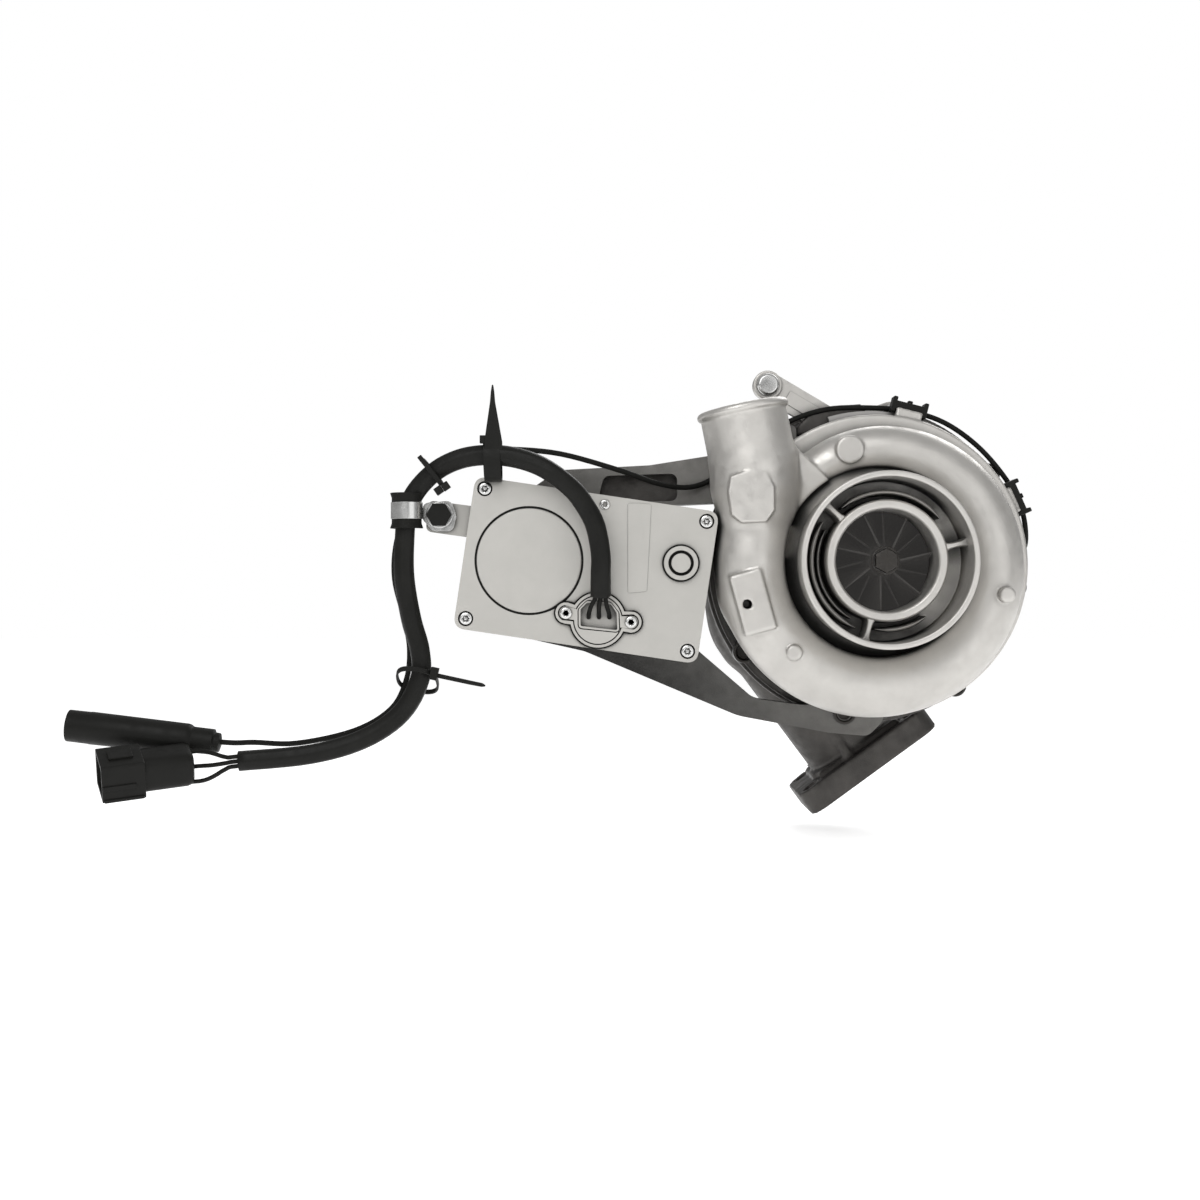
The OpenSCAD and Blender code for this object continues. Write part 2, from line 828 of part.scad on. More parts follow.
// Lug that sits in a slot of the case's wall
module tab_plate() {
    slab(case_joint_y, 54) translate([-254.5, 24]) round_rect(29, 21, 3);
}

module clamp_tab() color(cast_silver) at_mount() {
    difference() {
        tab_plate();
        rod(clamp_bolt_pos, 49, 55, clamp_bolt_r);
    }
}

module clamp_band() color(machined) at_mount() {
    difference() {
        union() {
            translate(clamp_pos - [0, 0, clamp_half_width]) cylinder(r = 9.5, h = 2 * clamp_half_width);
            translate([-277, 47, clamp_bolt_pos[1] - clamp_half_width]) cube([26, 3, 2 * clamp_half_width]);
        }
        translate(clamp_pos - [0, 0, 12]) cylinder(r = 8.5, h = 24);
        rod(clamp_bolt_pos, 46, 51, clamp_bolt_r);
    }
}

module clamp_cushion() color(black) at_mount() {
    difference() {
        union() {
            translate(clamp_pos - [0, 0, 10]) cylinder(r = 8.5, h = 20);
            translate(clamp_pos + [0, 0, clamp_half_width]) cylinder(r = 9.4, h = 5.3);
        }
        translate(clamp_pos - [0, 0, 12]) cylinder(r = conduit_d / 2 + 0.6, h = 24);
    }
}

module clamp_bolt() color(black) at_mount() {
    rod(clamp_bolt_pos, 47, 58, clamp_bolt_r);
    rod(clamp_bolt_pos, 46, 47, 8);
    hexagon(clamp_bolt_pos, 40.7, 46, 13);
}

// ---- harness ----

module harness_conduit() color(black) at_mount()
    tube(smooth(conduit_route, 2), conduit_d / 2, 12);

module harness_wires() color(black) at_mount() {
    for (k = [-1:1]) {
        tube(smooth([[-376, 40, -117 + wire_space * k], [-384, 43, -118.4 + 3.4 * k],
                     [-393, 47, -120 + 7 * k], [-402, 52, -121 + 9 * k],
                     [-416, 49, -122 + 8 * k], [-430, 44, -123 + 6 * k]], 2),
             wire_d / 2, 8);
        tube(smooth([[-164 + wire_space * k, 31, -20], [-165 + 4.5 * k, 33, -26],
                     [-165 + 6 * k, 38, -31], [-165 + 6 * k, 46, -34]], 2),
             wire_d / 2, 8);
    }
}

module square_connector() color(black) at_mount() {
    translate([-457, 36, -125.4]) rotate([25, -6, 21])
        difference() {
            union() {
                translate([0, -12.5, -12]) cube([25, 25, 24]);
                translate([20, 0, 0]) rotate([0, 90, 0]) cylinder(r = 11, h = 33);
            }
            translate([-1, -10, -9.5]) cube([21, 20, 19]);
        }
}

module sensor_connector() color(black) at_mount() {
    translate([-484, 68, -98])
        rotate([0, 90 + 6.5, 0]) {
            cylinder(r = 9.5, h = 68);
            translate([0, 0, 68]) cylinder(r = 6.5, h = 16);
            translate([0, 0, 84]) cylinder(r = 4, h = 8);
        }
}

module sensor_lead() color(black) at_mount()
    tube(smooth(lead_route, 2), lead_d / 2, 8);

// Closed loop of a cable tie round a bundle along Z at a point
module tie_loop(at, slope, r) {
    translate(at) rotate([0, slope, 0])
        difference() {
            cylinder(r = r + 1.2, h = 4.6, center = true);
            cylinder(r = r, h = 6, center = true);
        }
}

module cable_ties() color(black) at_mount() {
    translate([0, 4, 0]) {
        tie_loop([-224, 30, 63], 88, 12);
        tie_loop([-264, 39, 52], 50, 12);
        tie_loop([-273, 41, -69], 8, 14);
    }
    slab(30, 31.4) {
        polygon([[-230, 76], [-222, 76], [-226.4, 101], [-227.6, 101]]);
        translate([-226, 76]) square([14, 8], center = true);
        strip([-268, 63], [-277, 71], 4);
        strip([-262, -70], [-232, -73], 3);
    }
}

module lead_clips() color(black) at_mount() {
    for (a = [76, 24])
        spun(a) translate([93.2, 78, -10])
            difference() {
                cube([8.5, 12, 20]);
                translate([-1, 8, -1]) cube([8.2, 5, 22]);
            }
}

module speed_sensor() color(black) at_mount() {
    waist_rod(0, 4.95, 28, 56);
    waist_rod(0, 7.5, 56, 61);
    waist_rod(0, 5, 61, 66);
}

module lifting_arm() color(cast_silver) at_mount() {
    eye = [-61, 110];
    bend = [-17, 84];
    foot = polar(flange_bolt_r, flange_bolt_first - flange_bolt_pitch * lift_bolt);
    difference() {
        union() {
            slab(98, bearing_flange_y) union() {
                bar(eye, bend, 16);
                bar(bend, foot, 16);
            }
            rod(eye, 96, 106, 9);
        }
        rod(eye, 95, 107, 5.2);
        rod(foot, 97, 105, 4);
    }
}

module lifting_arm_pin() color(steel) at_mount() {
    eye = [-61, 110];
    foot = polar(flange_bolt_r, flange_bolt_first - flange_bolt_pitch * lift_bolt);
    rod(eye, 94, 108, 5.2);
    rod(eye, 92, 94, 7);
    rod(foot, 98, 119, 4);
    hexagon(foot, 92.5, 98, 11);
}

compressor_cover();
compressor_wheel();
compressor_locknut();
compressor_backplate();
backplate_screws();
backplate_o_ring();
cover_clamp_plates();
cover_bolts();
oil_flinger();
thrust_bearing();
journal_bearing_front();
journal_bearing_rear();
shaft_seal_rings();
bearing_housing();
turbine_shaft_wheel();
heat_shield();
turbine_housing();
flange_bolts();
nozzle_ring();
unison_ring();
for (k = [1:vane_count])
    color(steel) at_mount() vane(k);
vane_crank();
crank_bush();
link_rod();
output_lever();
actuator_housing();
actuator_front_cover();
front_cover_screws();
motor();
motor_pinion();
intermediate_gear();
sector_gear();
output_bush();
connector_plate();
connector_plate_screws();
shaft_plug();
actuator_bracket();
bracket_bolts();
clamp_tab();
clamp_band();
clamp_cushion();
clamp_bolt();
harness_conduit();
harness_wires();
square_connector();
sensor_lead();
sensor_connector();
cable_ties();
lead_clips();
speed_sensor();
lifting_arm();
lifting_arm_pin();
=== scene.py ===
"""Looks of a turbocharger with an electric vane actuator, built round its CAD frame.

Shapes are drawn in the shaft frame, in millimetres: the shaft is the line x = z = 0
along Y, and the air inlet's lip is at y = 0. at() turns that into the row frame.
"""
import math

import bmesh
import bpy
import numpy as np
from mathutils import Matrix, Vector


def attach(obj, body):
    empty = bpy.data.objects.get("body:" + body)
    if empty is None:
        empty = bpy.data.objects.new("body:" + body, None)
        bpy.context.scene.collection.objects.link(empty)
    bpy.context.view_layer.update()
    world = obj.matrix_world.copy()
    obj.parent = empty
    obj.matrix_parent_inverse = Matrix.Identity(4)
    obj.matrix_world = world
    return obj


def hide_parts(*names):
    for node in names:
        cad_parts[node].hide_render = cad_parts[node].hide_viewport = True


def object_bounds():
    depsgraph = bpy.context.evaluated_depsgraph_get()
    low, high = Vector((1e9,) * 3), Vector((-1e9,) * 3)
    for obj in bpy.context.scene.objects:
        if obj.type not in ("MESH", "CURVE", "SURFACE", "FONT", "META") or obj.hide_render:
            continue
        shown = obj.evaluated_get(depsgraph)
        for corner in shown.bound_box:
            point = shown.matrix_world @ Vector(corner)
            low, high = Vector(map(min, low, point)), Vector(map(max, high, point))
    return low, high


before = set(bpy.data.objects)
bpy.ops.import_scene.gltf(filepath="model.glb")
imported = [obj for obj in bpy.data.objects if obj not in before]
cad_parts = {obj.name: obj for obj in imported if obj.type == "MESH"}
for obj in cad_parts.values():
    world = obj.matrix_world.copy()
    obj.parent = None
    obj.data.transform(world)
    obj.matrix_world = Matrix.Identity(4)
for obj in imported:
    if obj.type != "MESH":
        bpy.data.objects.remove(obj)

import openvdb
from mathutils import Matrix, Vector

cad_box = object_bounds()
MM = 0.001

# The turbine foot's face centre is the origin of the row frame
FOOT_TILT = math.radians(36)
FOOT_OFFSET, FOOT_REACH, FOOT_Y = -68, 113.5, 175
FOOT = Vector((
    FOOT_OFFSET * math.cos(FOOT_TILT) + FOOT_REACH * math.sin(FOOT_TILT),
    FOOT_Y,
    FOOT_OFFSET * math.sin(FOOT_TILT) - FOOT_REACH * math.cos(FOOT_TILT),
))


def at(point):
    """A shaft-frame point in millimetres as a row-frame point in metres."""
    return (Vector(point) - FOOT) * MM


def polar(radius, angle):
    """A point (x, z) on a circle about the shaft, the angle in degrees seen from the inlet."""
    return radius * math.cos(math.radians(angle)), radius * math.sin(math.radians(angle))


# ---- camera ----

CAMERA_PLACE = (-164.4, -1050, -22.6)
camera_data = bpy.data.cameras.new("camera")
camera_data.lens = 55.8
camera_data.sensor_width = 36
camera_data.clip_end = 20
camera = bpy.data.objects.new("camera", camera_data)
camera.location = at(CAMERA_PLACE)
camera.rotation_euler = (math.radians(90), 0, 0)
bpy.context.scene.collection.objects.link(camera)
bpy.context.scene.camera = camera

# ---- materials ----


def mottled(tree, where, scale, low, high, detail=4):
    """A noise field mapped to the range from low to high."""
    noise = tree.nodes.new("ShaderNodeTexNoise")
    noise.inputs["Scale"].default_value = scale
    noise.inputs["Detail"].default_value = detail
    spread = tree.nodes.new("ShaderNodeMapRange")
    spread.inputs["From Min"].default_value = 0.3
    spread.inputs["From Max"].default_value = 0.7
    spread.inputs["To Min"].default_value = low
    spread.inputs["To Max"].default_value = high
    tree.links.new(where, noise.inputs["Vector"])
    tree.links.new(noise.outputs["Fac"], spread.inputs["Value"])
    return spread.outputs["Result"]


def shaded(tree, colour, factor):
    """A colour multiplied by a factor field."""
    mix = tree.nodes.new("ShaderNodeMix")
    mix.data_type = "RGBA"
    mix.blend_type = "MULTIPLY"
    mix.inputs["Factor"].default_value = 1
    tree.links.new(colour, mix.inputs[6])
    tree.links.new(factor, mix.inputs[7])
    return mix.outputs[2]


def shaft_place(tree, where):
    """Object coordinates moved so that the shaft is the line x = z = 0."""
    moved = tree.nodes.new("ShaderNodeVectorMath")
    moved.operation = "ADD"
    moved.inputs[1].default_value = FOOT * MM
    tree.links.new(where, moved.inputs[0])
    return moved.outputs["Vector"]


def side_light_factor(tree, where, darkest):
    """A factor of painted light and shade, from darkest at the lower left to 1.15 at the upper right.
    """
    along = tree.nodes.new("ShaderNodeVectorMath")
    along.operation = "DOT_PRODUCT"
    along.inputs[1].default_value = (0.726, 0, 0.687)
    tree.links.new(shaft_place(tree, where), along.inputs[0])
    rise = tree.nodes.new("ShaderNodeMapRange")
    rise.inputs["From Min"].default_value = -150 * MM
    rise.inputs["From Max"].default_value = -40 * MM
    rise.inputs["To Min"].default_value = darkest
    rise.inputs["To Max"].default_value = 1.15
    tree.links.new(along.outputs["Value"], rise.inputs["Value"])
    return rise.outputs["Result"]


def surface(name, colour, metallic, roughness, grain, depth, mottle=0.08, painted_crevice_shade=0.0,
            wear=None, turned=False, specular=0.5, painted_side_light=None, reach=5.0):
    """A procedural finish.

    grain is the bump's frequency per metre and depth its height in metres. The crevice factor
    is painted shade: it darkens the hollows within reach millimetres, where shade falls. wear is
    the colour of rubbed edges, turned adds lathe marks round the shaft, and the side light factor
    is painted light and shade: it darkens the lower left of a casting and brightens its upper
    right, as if lit from there.
    """
    material = bpy.data.materials.new(name)
    material.use_nodes = True
    tree = material.node_tree
    shader = tree.nodes["Principled BSDF"]
    shader.inputs["Metallic"].default_value = metallic
    shader.inputs["Specular IOR Level"].default_value = specular
    where = tree.nodes.new("ShaderNodeTexCoord").outputs["Object"]
    tone = tree.nodes.new("ShaderNodeMix")
    tone.data_type = "RGBA"
    tone.inputs[6].default_value = (*[c * (1 - mottle) for c in colour], 1)
    tone.inputs[7].default_value = (*[min(c * (1 + mottle), 1) for c in colour], 1)
    tree.links.new(mottled(tree, where, 60, 0, 1, 6), tone.inputs["Factor"])
    paint = tone.outputs[2]
    # Painted light and shade: the colour is darker towards the lower left and brighter towards the
    # upper right.
    if painted_side_light:
        paint = shaded(tree, paint, side_light_factor(tree, where, painted_side_light))
    if wear:
        bevel = tree.nodes.new("ShaderNodeBevel")
        bevel.samples = 4
        bevel.inputs["Radius"].default_value = 0.7 * MM
        geometry = tree.nodes.new("ShaderNodeNewGeometry")
        dot = tree.nodes.new("ShaderNodeVectorMath")
        dot.operation = "DOT_PRODUCT"
        tree.links.new(bevel.outputs["Normal"], dot.inputs[0])
        tree.links.new(geometry.outputs["Normal"], dot.inputs[1])
        rubbed = tree.nodes.new("ShaderNodeMapRange")
        rubbed.inputs["From Min"].default_value = 0.99
        rubbed.inputs["From Max"].default_value = 0.86
        rubbed.inputs["To Max"].default_value = 0.75
        tree.links.new(dot.outputs["Value"], rubbed.inputs["Value"])
        edge = tree.nodes.new("ShaderNodeMix")
        edge.data_type = "RGBA"
        edge.inputs[7].default_value = (*wear, 1)
        tree.links.new(rubbed.outputs["Result"], edge.inputs["Factor"])
        tree.links.new(paint, edge.inputs[6])
        paint = edge.outputs[2]
    # Painted shade: ambient occlusion darkens the colour in hollows and creases, where shade falls.
    if painted_crevice_shade:
        hollow = tree.nodes.new("ShaderNodeAmbientOcclusion")
        hollow.samples = 8
        hollow.inputs["Distance"].default_value = reach * MM
        crevice_shade_tone = tree.nodes.new("ShaderNodeMapRange")
        crevice_shade_tone.inputs["From Min"].default_value = 0.35
        crevice_shade_tone.inputs["From Max"].default_value = 0.8
        crevice_shade_tone.inputs["To Min"].default_value = 1 - painted_crevice_shade
        tree.links.new(hollow.outputs["AO"], crevice_shade_tone.inputs["Value"])
        paint = shaded(tree, paint, crevice_shade_tone.outputs["Result"])
    tree.links.new(paint, shader.inputs["Base Color"])
    spread = 0.25 * roughness
    tree.links.new(mottled(tree, where, 180, roughness - spread, roughness + spread),
                   shader.inputs["Roughness"])
    fine = mottled(tree, where, grain, 0, 1, 3)
    if turned:
        split = tree.nodes.new("ShaderNodeSeparateXYZ")
        tree.links.new(shaft_place(tree, where), split.inputs["Vector"])
        flat = tree.nodes.new("ShaderNodeCombineXYZ")
        tree.links.new(split.outputs["X"], flat.inputs["X"])
        tree.links.new(split.outputs["Z"], flat.inputs["Y"])
        length = tree.nodes.new("ShaderNodeVectorMath")
        length.operation = "LENGTH"
        tree.links.new(flat.outputs["Vector"], length.inputs[0])
        rings = tree.nodes.new("ShaderNodeCombineXYZ")
        tree.links.new(length.outputs["Value"], rings.inputs["X"])
        tree.links.new(split.outputs["Y"], rings.inputs["Y"])
        fine = mottled(tree, rings.outputs["Vector"], 2200, 0, 1, 2)
    bump = tree.nodes.new("ShaderNodeBump")
    bump.inputs["Strength"].default_value = 0.6
    bump.inputs["Distance"].default_value = depth
    tree.links.new(fine, bump.inputs["Height"])
    tree.links.new(bump.outputs["Normal"], shader.inputs["Normal"])
    return material


SILVER = (0.52, 0.505, 0.48)
CHARCOAL = (0.040, 0.037, 0.034)
BLACK = (0.010, 0.010, 0.009)
FINISHES = {
    "cover_casting": surface("cast_aluminium", SILVER, 0.75, 0.42, 1500, 0.03 * MM, 0.06, 0.85,
                             reach=11),
    "machined_alloy": surface("machined_aluminium", (0.72, 0.71, 0.69), 0.9, 0.26, 900,
                              0.01 * MM, 0.04, 0.5, turned=True),
    "wheel_alloy": surface("wheel_alloy", (0.038, 0.036, 0.034), 0.1, 0.7, 1200, 0.02 * MM, 0.1,
                           specular=0.2),
    "bright_steel": surface("bright_steel", (0.62, 0.62, 0.61), 1, 0.24, 2000, 0.01 * MM, 0.05,
                            0.6),
    "steel": surface("steel", (0.36, 0.35, 0.34), 1, 0.36, 1800, 0.015 * MM, 0.1, 0.6),
    "bearing_bronze": surface("bearing_bronze", (0.52, 0.33, 0.13), 1, 0.3, 1800, 0.01 * MM),
    "iron_casting": surface("cast_iron", (0.058, 0.054, 0.05), 0.55, 0.5, 1100, 0.09 * MM,
                            0.22, 0.4, wear=(0.16, 0.15, 0.14)),
    # The bracket's colour holds painted shade at its lower left and painted light at its upper right.
    "bracket_iron": surface("bracket_iron", (0.17, 0.165, 0.155), 0.35, 0.55, 1300, 0.08 * MM,
                            0.15, 0.6, painted_side_light=0.1),
    "actuator_casting": surface("painted_casting", (0.43, 0.42, 0.395), 0.15, 0.5, 1700,
                                0.02 * MM, 0.03, 0.85),
    "black_rubber": surface("black_rubber", (0.009, 0.009, 0.008), 0, 0.62, 1400, 0.03 * MM,
                            specular=0.12),
    "black_plastic": surface("black_plastic", BLACK, 0, 0.45, 1600, 0.02 * MM, specular=0.12),
    "black_sleeve": surface("black_sleeve", (0.009, 0.009, 0.008), 0, 0.42, 700, 0.05 * MM,
                            0.2, specular=0.14),
    "black_steel": surface("black_steel", CHARCOAL, 0.8, 0.42, 1800, 0.02 * MM, 0.1,
                           wear=(0.14, 0.14, 0.14)),
}

# Painted light: the wheel glows a little, though it is no lamp, so that deep in the shaded bore it
# doesn't go black
wheel_shader = FINISHES["wheel_alloy"].node_tree.nodes["Principled BSDF"]
wheel_shader.inputs["Emission Color"].default_value = (0.026, 0.025, 0.024, 1)
wheel_shader.inputs["Emission Strength"].default_value = 1

# ---- mesh tools ----


def piece(name, points, faces, finish, body, *nodes, bevel=0.0, sharp=35.0):
    """A mesh object from shaft-frame points, standing for CAD nodes and riding on a body."""
    mesh = bpy.data.meshes.new(name)
    mesh.from_pydata([at(p) for p in points], [], [list(f) for f in faces])
    mesh.materials.append(FINISHES[finish])
    tidy = bmesh.new()
    tidy.from_mesh(mesh)
    bmesh.ops.remove_doubles(tidy, verts=tidy.verts, dist=0.002 * MM)
    bmesh.ops.dissolve_degenerate(tidy, edges=tidy.edges, dist=0.001 * MM)
    bmesh.ops.recalc_face_normals(tidy, faces=tidy.faces)
    tidy.to_mesh(mesh)
    tidy.free()
    obj = bpy.data.objects.new(name, mesh)
    bpy.context.scene.collection.objects.link(obj)
    mesh.shade_smooth()
    if bevel:
        rounding = obj.modifiers.new("rounding", "BEVEL")
        rounding.width = bevel * MM
        rounding.segments = 3
        rounding.limit_method = "ANGLE"
        rounding.angle_limit = math.radians(sharp)
        rounding.harden_normals = True
    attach(obj, body)
    if nodes:
        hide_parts(*nodes)
    return obj


def joined(*parts):
    """Several (points, faces) meshes as one."""
    points, faces = [], []
    for some_points, some_faces in parts:
        start = len(points)
        points += list(some_points)
        faces += [[start + k for k in face] for face in some_faces]
    return points, faces


def softened(profile, radius):
    """A closed [radius, y] profile with its corners rounded, apart from those on the axis."""
    soft = []
    count = len(profile)
    for k, corner in enumerate(profile):
        corner = Vector(corner)
        before = Vector(profile[k - 1]) - corner
        after = Vector(profile[(k + 1) % count]) - corner
        if corner.x < 0.01 or before.length < 0.01 or after.length < 0.01:
            soft.append(corner)
            continue
        straight = before.angle(after) > math.radians(150)
        cut = 0 if straight else min(radius, 0.4 * before.length, 0.4 * after.length)
        if not cut:
            soft.append(corner)
            continue
        start = corner + before.normalized() * cut
        end = corner + after.normalized() * cut
        for t in (0, 0.33, 0.67, 1):
            soft.append(start * (1 - t) ** 2 + corner * 2 * t * (1 - t) + end * t * t)
    return soft


def turned(profile, centre=(0, 0), soft=0.6, sides=96):
    """A solid of revolution along Y from a closed [radius, y] profile, in millimetres."""
    profile = softened(profile, soft)
    count = len(profile)
    points, faces = [], []
    for i in range(sides):
        angle = 2 * math.pi * i / sides
        for radius, y in profile:
            points.append((centre[0] + radius * math.cos(angle), y,
                           centre[1] + radius * math.sin(angle)))
    for i in range(sides):
        here, there = i * count, (i + 1) % sides * count
        for k in range(count):
            after = (k + 1) % count
            if profile[k][0] < 0.01 and profile[after][0] < 0.01:
                continue
            faces.append([here + k, here + after, there + after, there + k])
    return points, faces


def slab(outline, y0, y1, holes=()):
    """An (x, z) outline with round or shaped holes, made solid from y0 to y1."""
    flat = bmesh.new()
    edges = []
    for loop in [outline, *holes]:
        corners = [flat.verts.new((x, y0, z)) for x, z in loop]
        edges += [flat.edges.new((a, corners[k - 1])) for k, a in enumerate(corners)]
    bmesh.ops.triangle_fill(flat, use_beauty=True, use_dissolve=False, edges=edges)
    grown = bmesh.ops.extrude_face_region(flat, geom=flat.faces[:])
    for item in grown["geom"]:
        if isinstance(item, bmesh.types.BMVert):
            item.co.y = y1
    flat.verts.index_update()
    points = [tuple(v.co) for v in flat.verts]
    faces = [[v.index for v in f.verts] for f in flat.faces]
    flat.free()
    return points, faces


def round_loop(centre, radius, sides=48, start=0, sweep=360):
    """Points (x, z) along a circle, or along an arc where sweep is under a full turn."""
    whole = abs(sweep) >= 360
    steps = sides if whole else sides + 1
    return [(centre[0] + radius * math.cos(math.radians(start + sweep * k / sides)),
             centre[1] + radius * math.sin(math.radians(start + sweep * k / sides)))
            for k in range(steps)]


def corner_loop(corners, radii, steps=6):
    """An (x, z) outline through corners, each rounded by its own radius."""
    loop = []
    count = len(corners)
    for k, corner in enumerate(corners):
        corner = Vector(corner)
        before = Vector(corners[k - 1]) - corner
        after = Vector(corners[(k + 1) % count]) - corner
        radius = radii if isinstance(radii, (int, float)) else radii[k]
        half = before.angle(after) / 2
        cut = min(radius / math.tan(half), 0.49 * before.length, 0.49 * after.length)
        start = corner + before.normalized() * cut
        end = corner + after.normalized() * cut
        for s in range(steps + 1):
            t = s / steps
            loop.append(tuple(start * (1 - t) ** 2 + corner * 2 * t * (1 - t) + end * t * t))
    return loop


def hexagon(centre, across, y0, y1, turn=0, face=0.94):
    """A hexagon head along Y with chamfered corners at y0, which faces the inlet if y0 < y1.

    face is the chamfer's inner circle as a share of the width across flats.
    """
    corner = across / math.sqrt(3)
    points, faces = [], []
    rings = [(y0, 0.0), (y0, across / 2 * face), (y0 + 0.12 * (y1 - y0), corner), (y1, corner)]
    for y, radius in rings:
        for k in range(36):
            angle = 10 * k
            flat = across / 2 / math.cos(math.radians((angle + 30) % 60 - 30))
            reach = min(radius, flat)
            a = math.radians(angle + turn)
            points.append((centre[0] + reach * math.cos(a), y, centre[1] + reach * math.sin(a)))
    for ring in range(len(rings) - 1):
        for k in range(36):
            a, b = ring * 36 + k, ring * 36 + (k + 1) % 36
            faces.append([a, b, b + 36, a + 36])
    faces.append([(len(rings) - 1) * 36 + k for k in range(36)])
    return points, faces


def washer(centre, inner, outer, y0, y1):
    """A flat washer along Y."""
    return turned([[inner, y0], [outer, y0], [outer, y1], [inner, y1]], centre, 0.3, 48)


def curve(a, b, c, d, t):
    """The point between b and c on the smooth curve through four route points."""
    return 0.5 * (2 * b + (c - a) * t + (2 * a - 5 * b + 4 * c - d) * t * t
                  + (3 * b - a - 3 * c + d) * t * t * t)


def smooth(route, steps):
    """A route with steps points between each pair of its own."""
    route = [Vector(p) for p in route]
    last = len(route) - 1
    line = []
    for i in range(last):
        around = [route[max(i - 1, 0)], route[i], route[i + 1], route[min(i + 2, last)]]
        line += [curve(*around, s / steps) for s in range(steps)]
    return line + [route[last]]


def sideways(line, i):
    """The unit direction across a line at point i, in the plane that faces the inlet."""
    along = line[min(i + 1, len(line) - 1)] - line[max(i - 1, 0)]
    return along.cross(Vector((0, 1, 0))).normalized(), along.normalized()


def tube(line, section, sides, bore=None):
    """A tube along a line. section(angle, share) gives its radius; bore makes it hollow."""
    rings = []
    for i in range(len(line)):
        side, along = sideways(line, i)
        up = side.cross(along)
        share = i / (len(line) - 1)
        rings.append([line[i] + section(a, share) * (math.cos(a) * side + math.sin(a) * up)
                      for a in [2 * math.pi * k / sides for k in range(sides)]])
        if bore:
            rings[-1] += [line[i] + bore * (math.cos(a) * side + math.sin(a) * up)
                          for a in [2 * math.pi * k / sides for k in range(sides)]]
    width = len(rings[0])
    points = [p for ring in rings for p in ring]
    faces = []
    for i in range(len(rings) - 1):
        for skin in range(width // sides):
            for k in range(sides):
                a = i * width + skin * sides + k
                b = i * width + skin * sides + (k + 1) % sides
                faces.append([a, b, b + width, a + width])
    for first in (0, (len(rings) - 1) * width):
        if bore:
            for k in range(sides):
                a, b = first + k, first + (k + 1) % sides
                faces.append([a, b, b + sides, a + sides])
        else:
            faces.append([first + k for k in range(sides)])
    return points, faces


# ---- cords ----

CONDUIT_ROUTE = [
    (-164, 31, -20), (-164, 27, -8), (-164, 26, 4), (-167, 26, 20), (-173, 26, 32),
    (-182, 26, 43), (-199, 27, 55), (-219, 30, 61), (-240, 34, 61), (-257, 37, 55),
    (-270, 40, 44), (-277, 40.5, 31), (-279, 40.5, 12), (-279, 40, -10),
    (-275, 40, -34), (-270, 40, -52), (-270, 40, -69), (-281, 40, -89),
    (-303, 40, -104), (-334, 40, -113), (-376, 40, -117),
]
LEAD_ROUTE = [
    (-392, 68, -108), (-372, 66, -108), (-345, 60, -108), (-310, 53, -100),
    (-288, 50, -87), (-279, 50, -70), (-277, 50, -52), (-280, 50, -34),
    (-286, 51, -10), (-285, 53, 12), (-278, 54, 31), (-272, 52, 46),
    (-258, 49, 60), (-240, 45, 66), (-219, 42, 66), (-188, 52, 64),
    (-152, 66, 55), (-130, 76, 48), (-112, 84, 46), (-98, 88, 50),
    (-84, 88, 60), (-70, 88, 73), (-50, 88, 86), (-26, 88, 94),
    (0, 88, 95), (24, 88, 93), (46, 88, 86), (66, 88, 72),
    (82, 88, 54), (92, 88, 37), (96, 89, 22), (96, 93, 9), (88, 96, 2),
    (76, 96, 0), (66, 96, 0),
]
LEAD_END = (-446, 68, -102)
CONDUIT_D = 12
LEAD_D = 3.2
WIRE_D = 2.6
WIRE_SPACE = 2.8


def sleeve_section(angle, share):
    """A conduit pressed a little flat, with the wires showing through as soft ridges."""
    flat = 1 - 0.14 * math.sin(angle) ** 2
    ridges = 0.02 * math.cos(6 * angle + 4 * math.sin(9 * share))
    return CONDUIT_D / 2 * (flat - 0.02 + ridges)


def wire_line(k):
    """One wire's whole way: out of the actuator, through the conduit and into its connector."""
    run = smooth(CONDUIT_ROUTE, 3)
    inside = [p - k * WIRE_SPACE * sideways(run, i)[0] for i, p in enumerate(run)]
    start = [(-165 + 6 * k, 46, -34), (-165 + 6 * k, 38, -31), (-165 + 4.5 * k, 33, -26)]
    end = [(-384, 43, -118.4 + 3.4 * k), (-393, 47, -120 + 7 * k), (-402, 52, -121 + 9 * k),
           (-416, 49, -122 + 8 * k), (-430, 44, -123 + 6 * k)]
    return smooth(start + inside[::3] + end, 3)


def make_cords():
    run = smooth(CONDUIT_ROUTE, 6)
    conduit = piece("conduit", *tube(run, sleeve_section, 36, bore=4.6), "black_sleeve", "root",
                    "harness_conduit")
    for k in (-1, 0, 1):
        line = wire_line(k)
        wire = piece(f"wire_{k + 2}", *tube(line, lambda a, s: WIRE_D / 2, 12), "black_rubber",
                     "root", "harness_wires")
    line = smooth(LEAD_ROUTE[::-1] + [LEAD_END], 6)
    lead = piece("lead", *tube(line, lambda a, s: LEAD_D / 2, 16), "black_rubber", "root",
                 "sensor_lead")


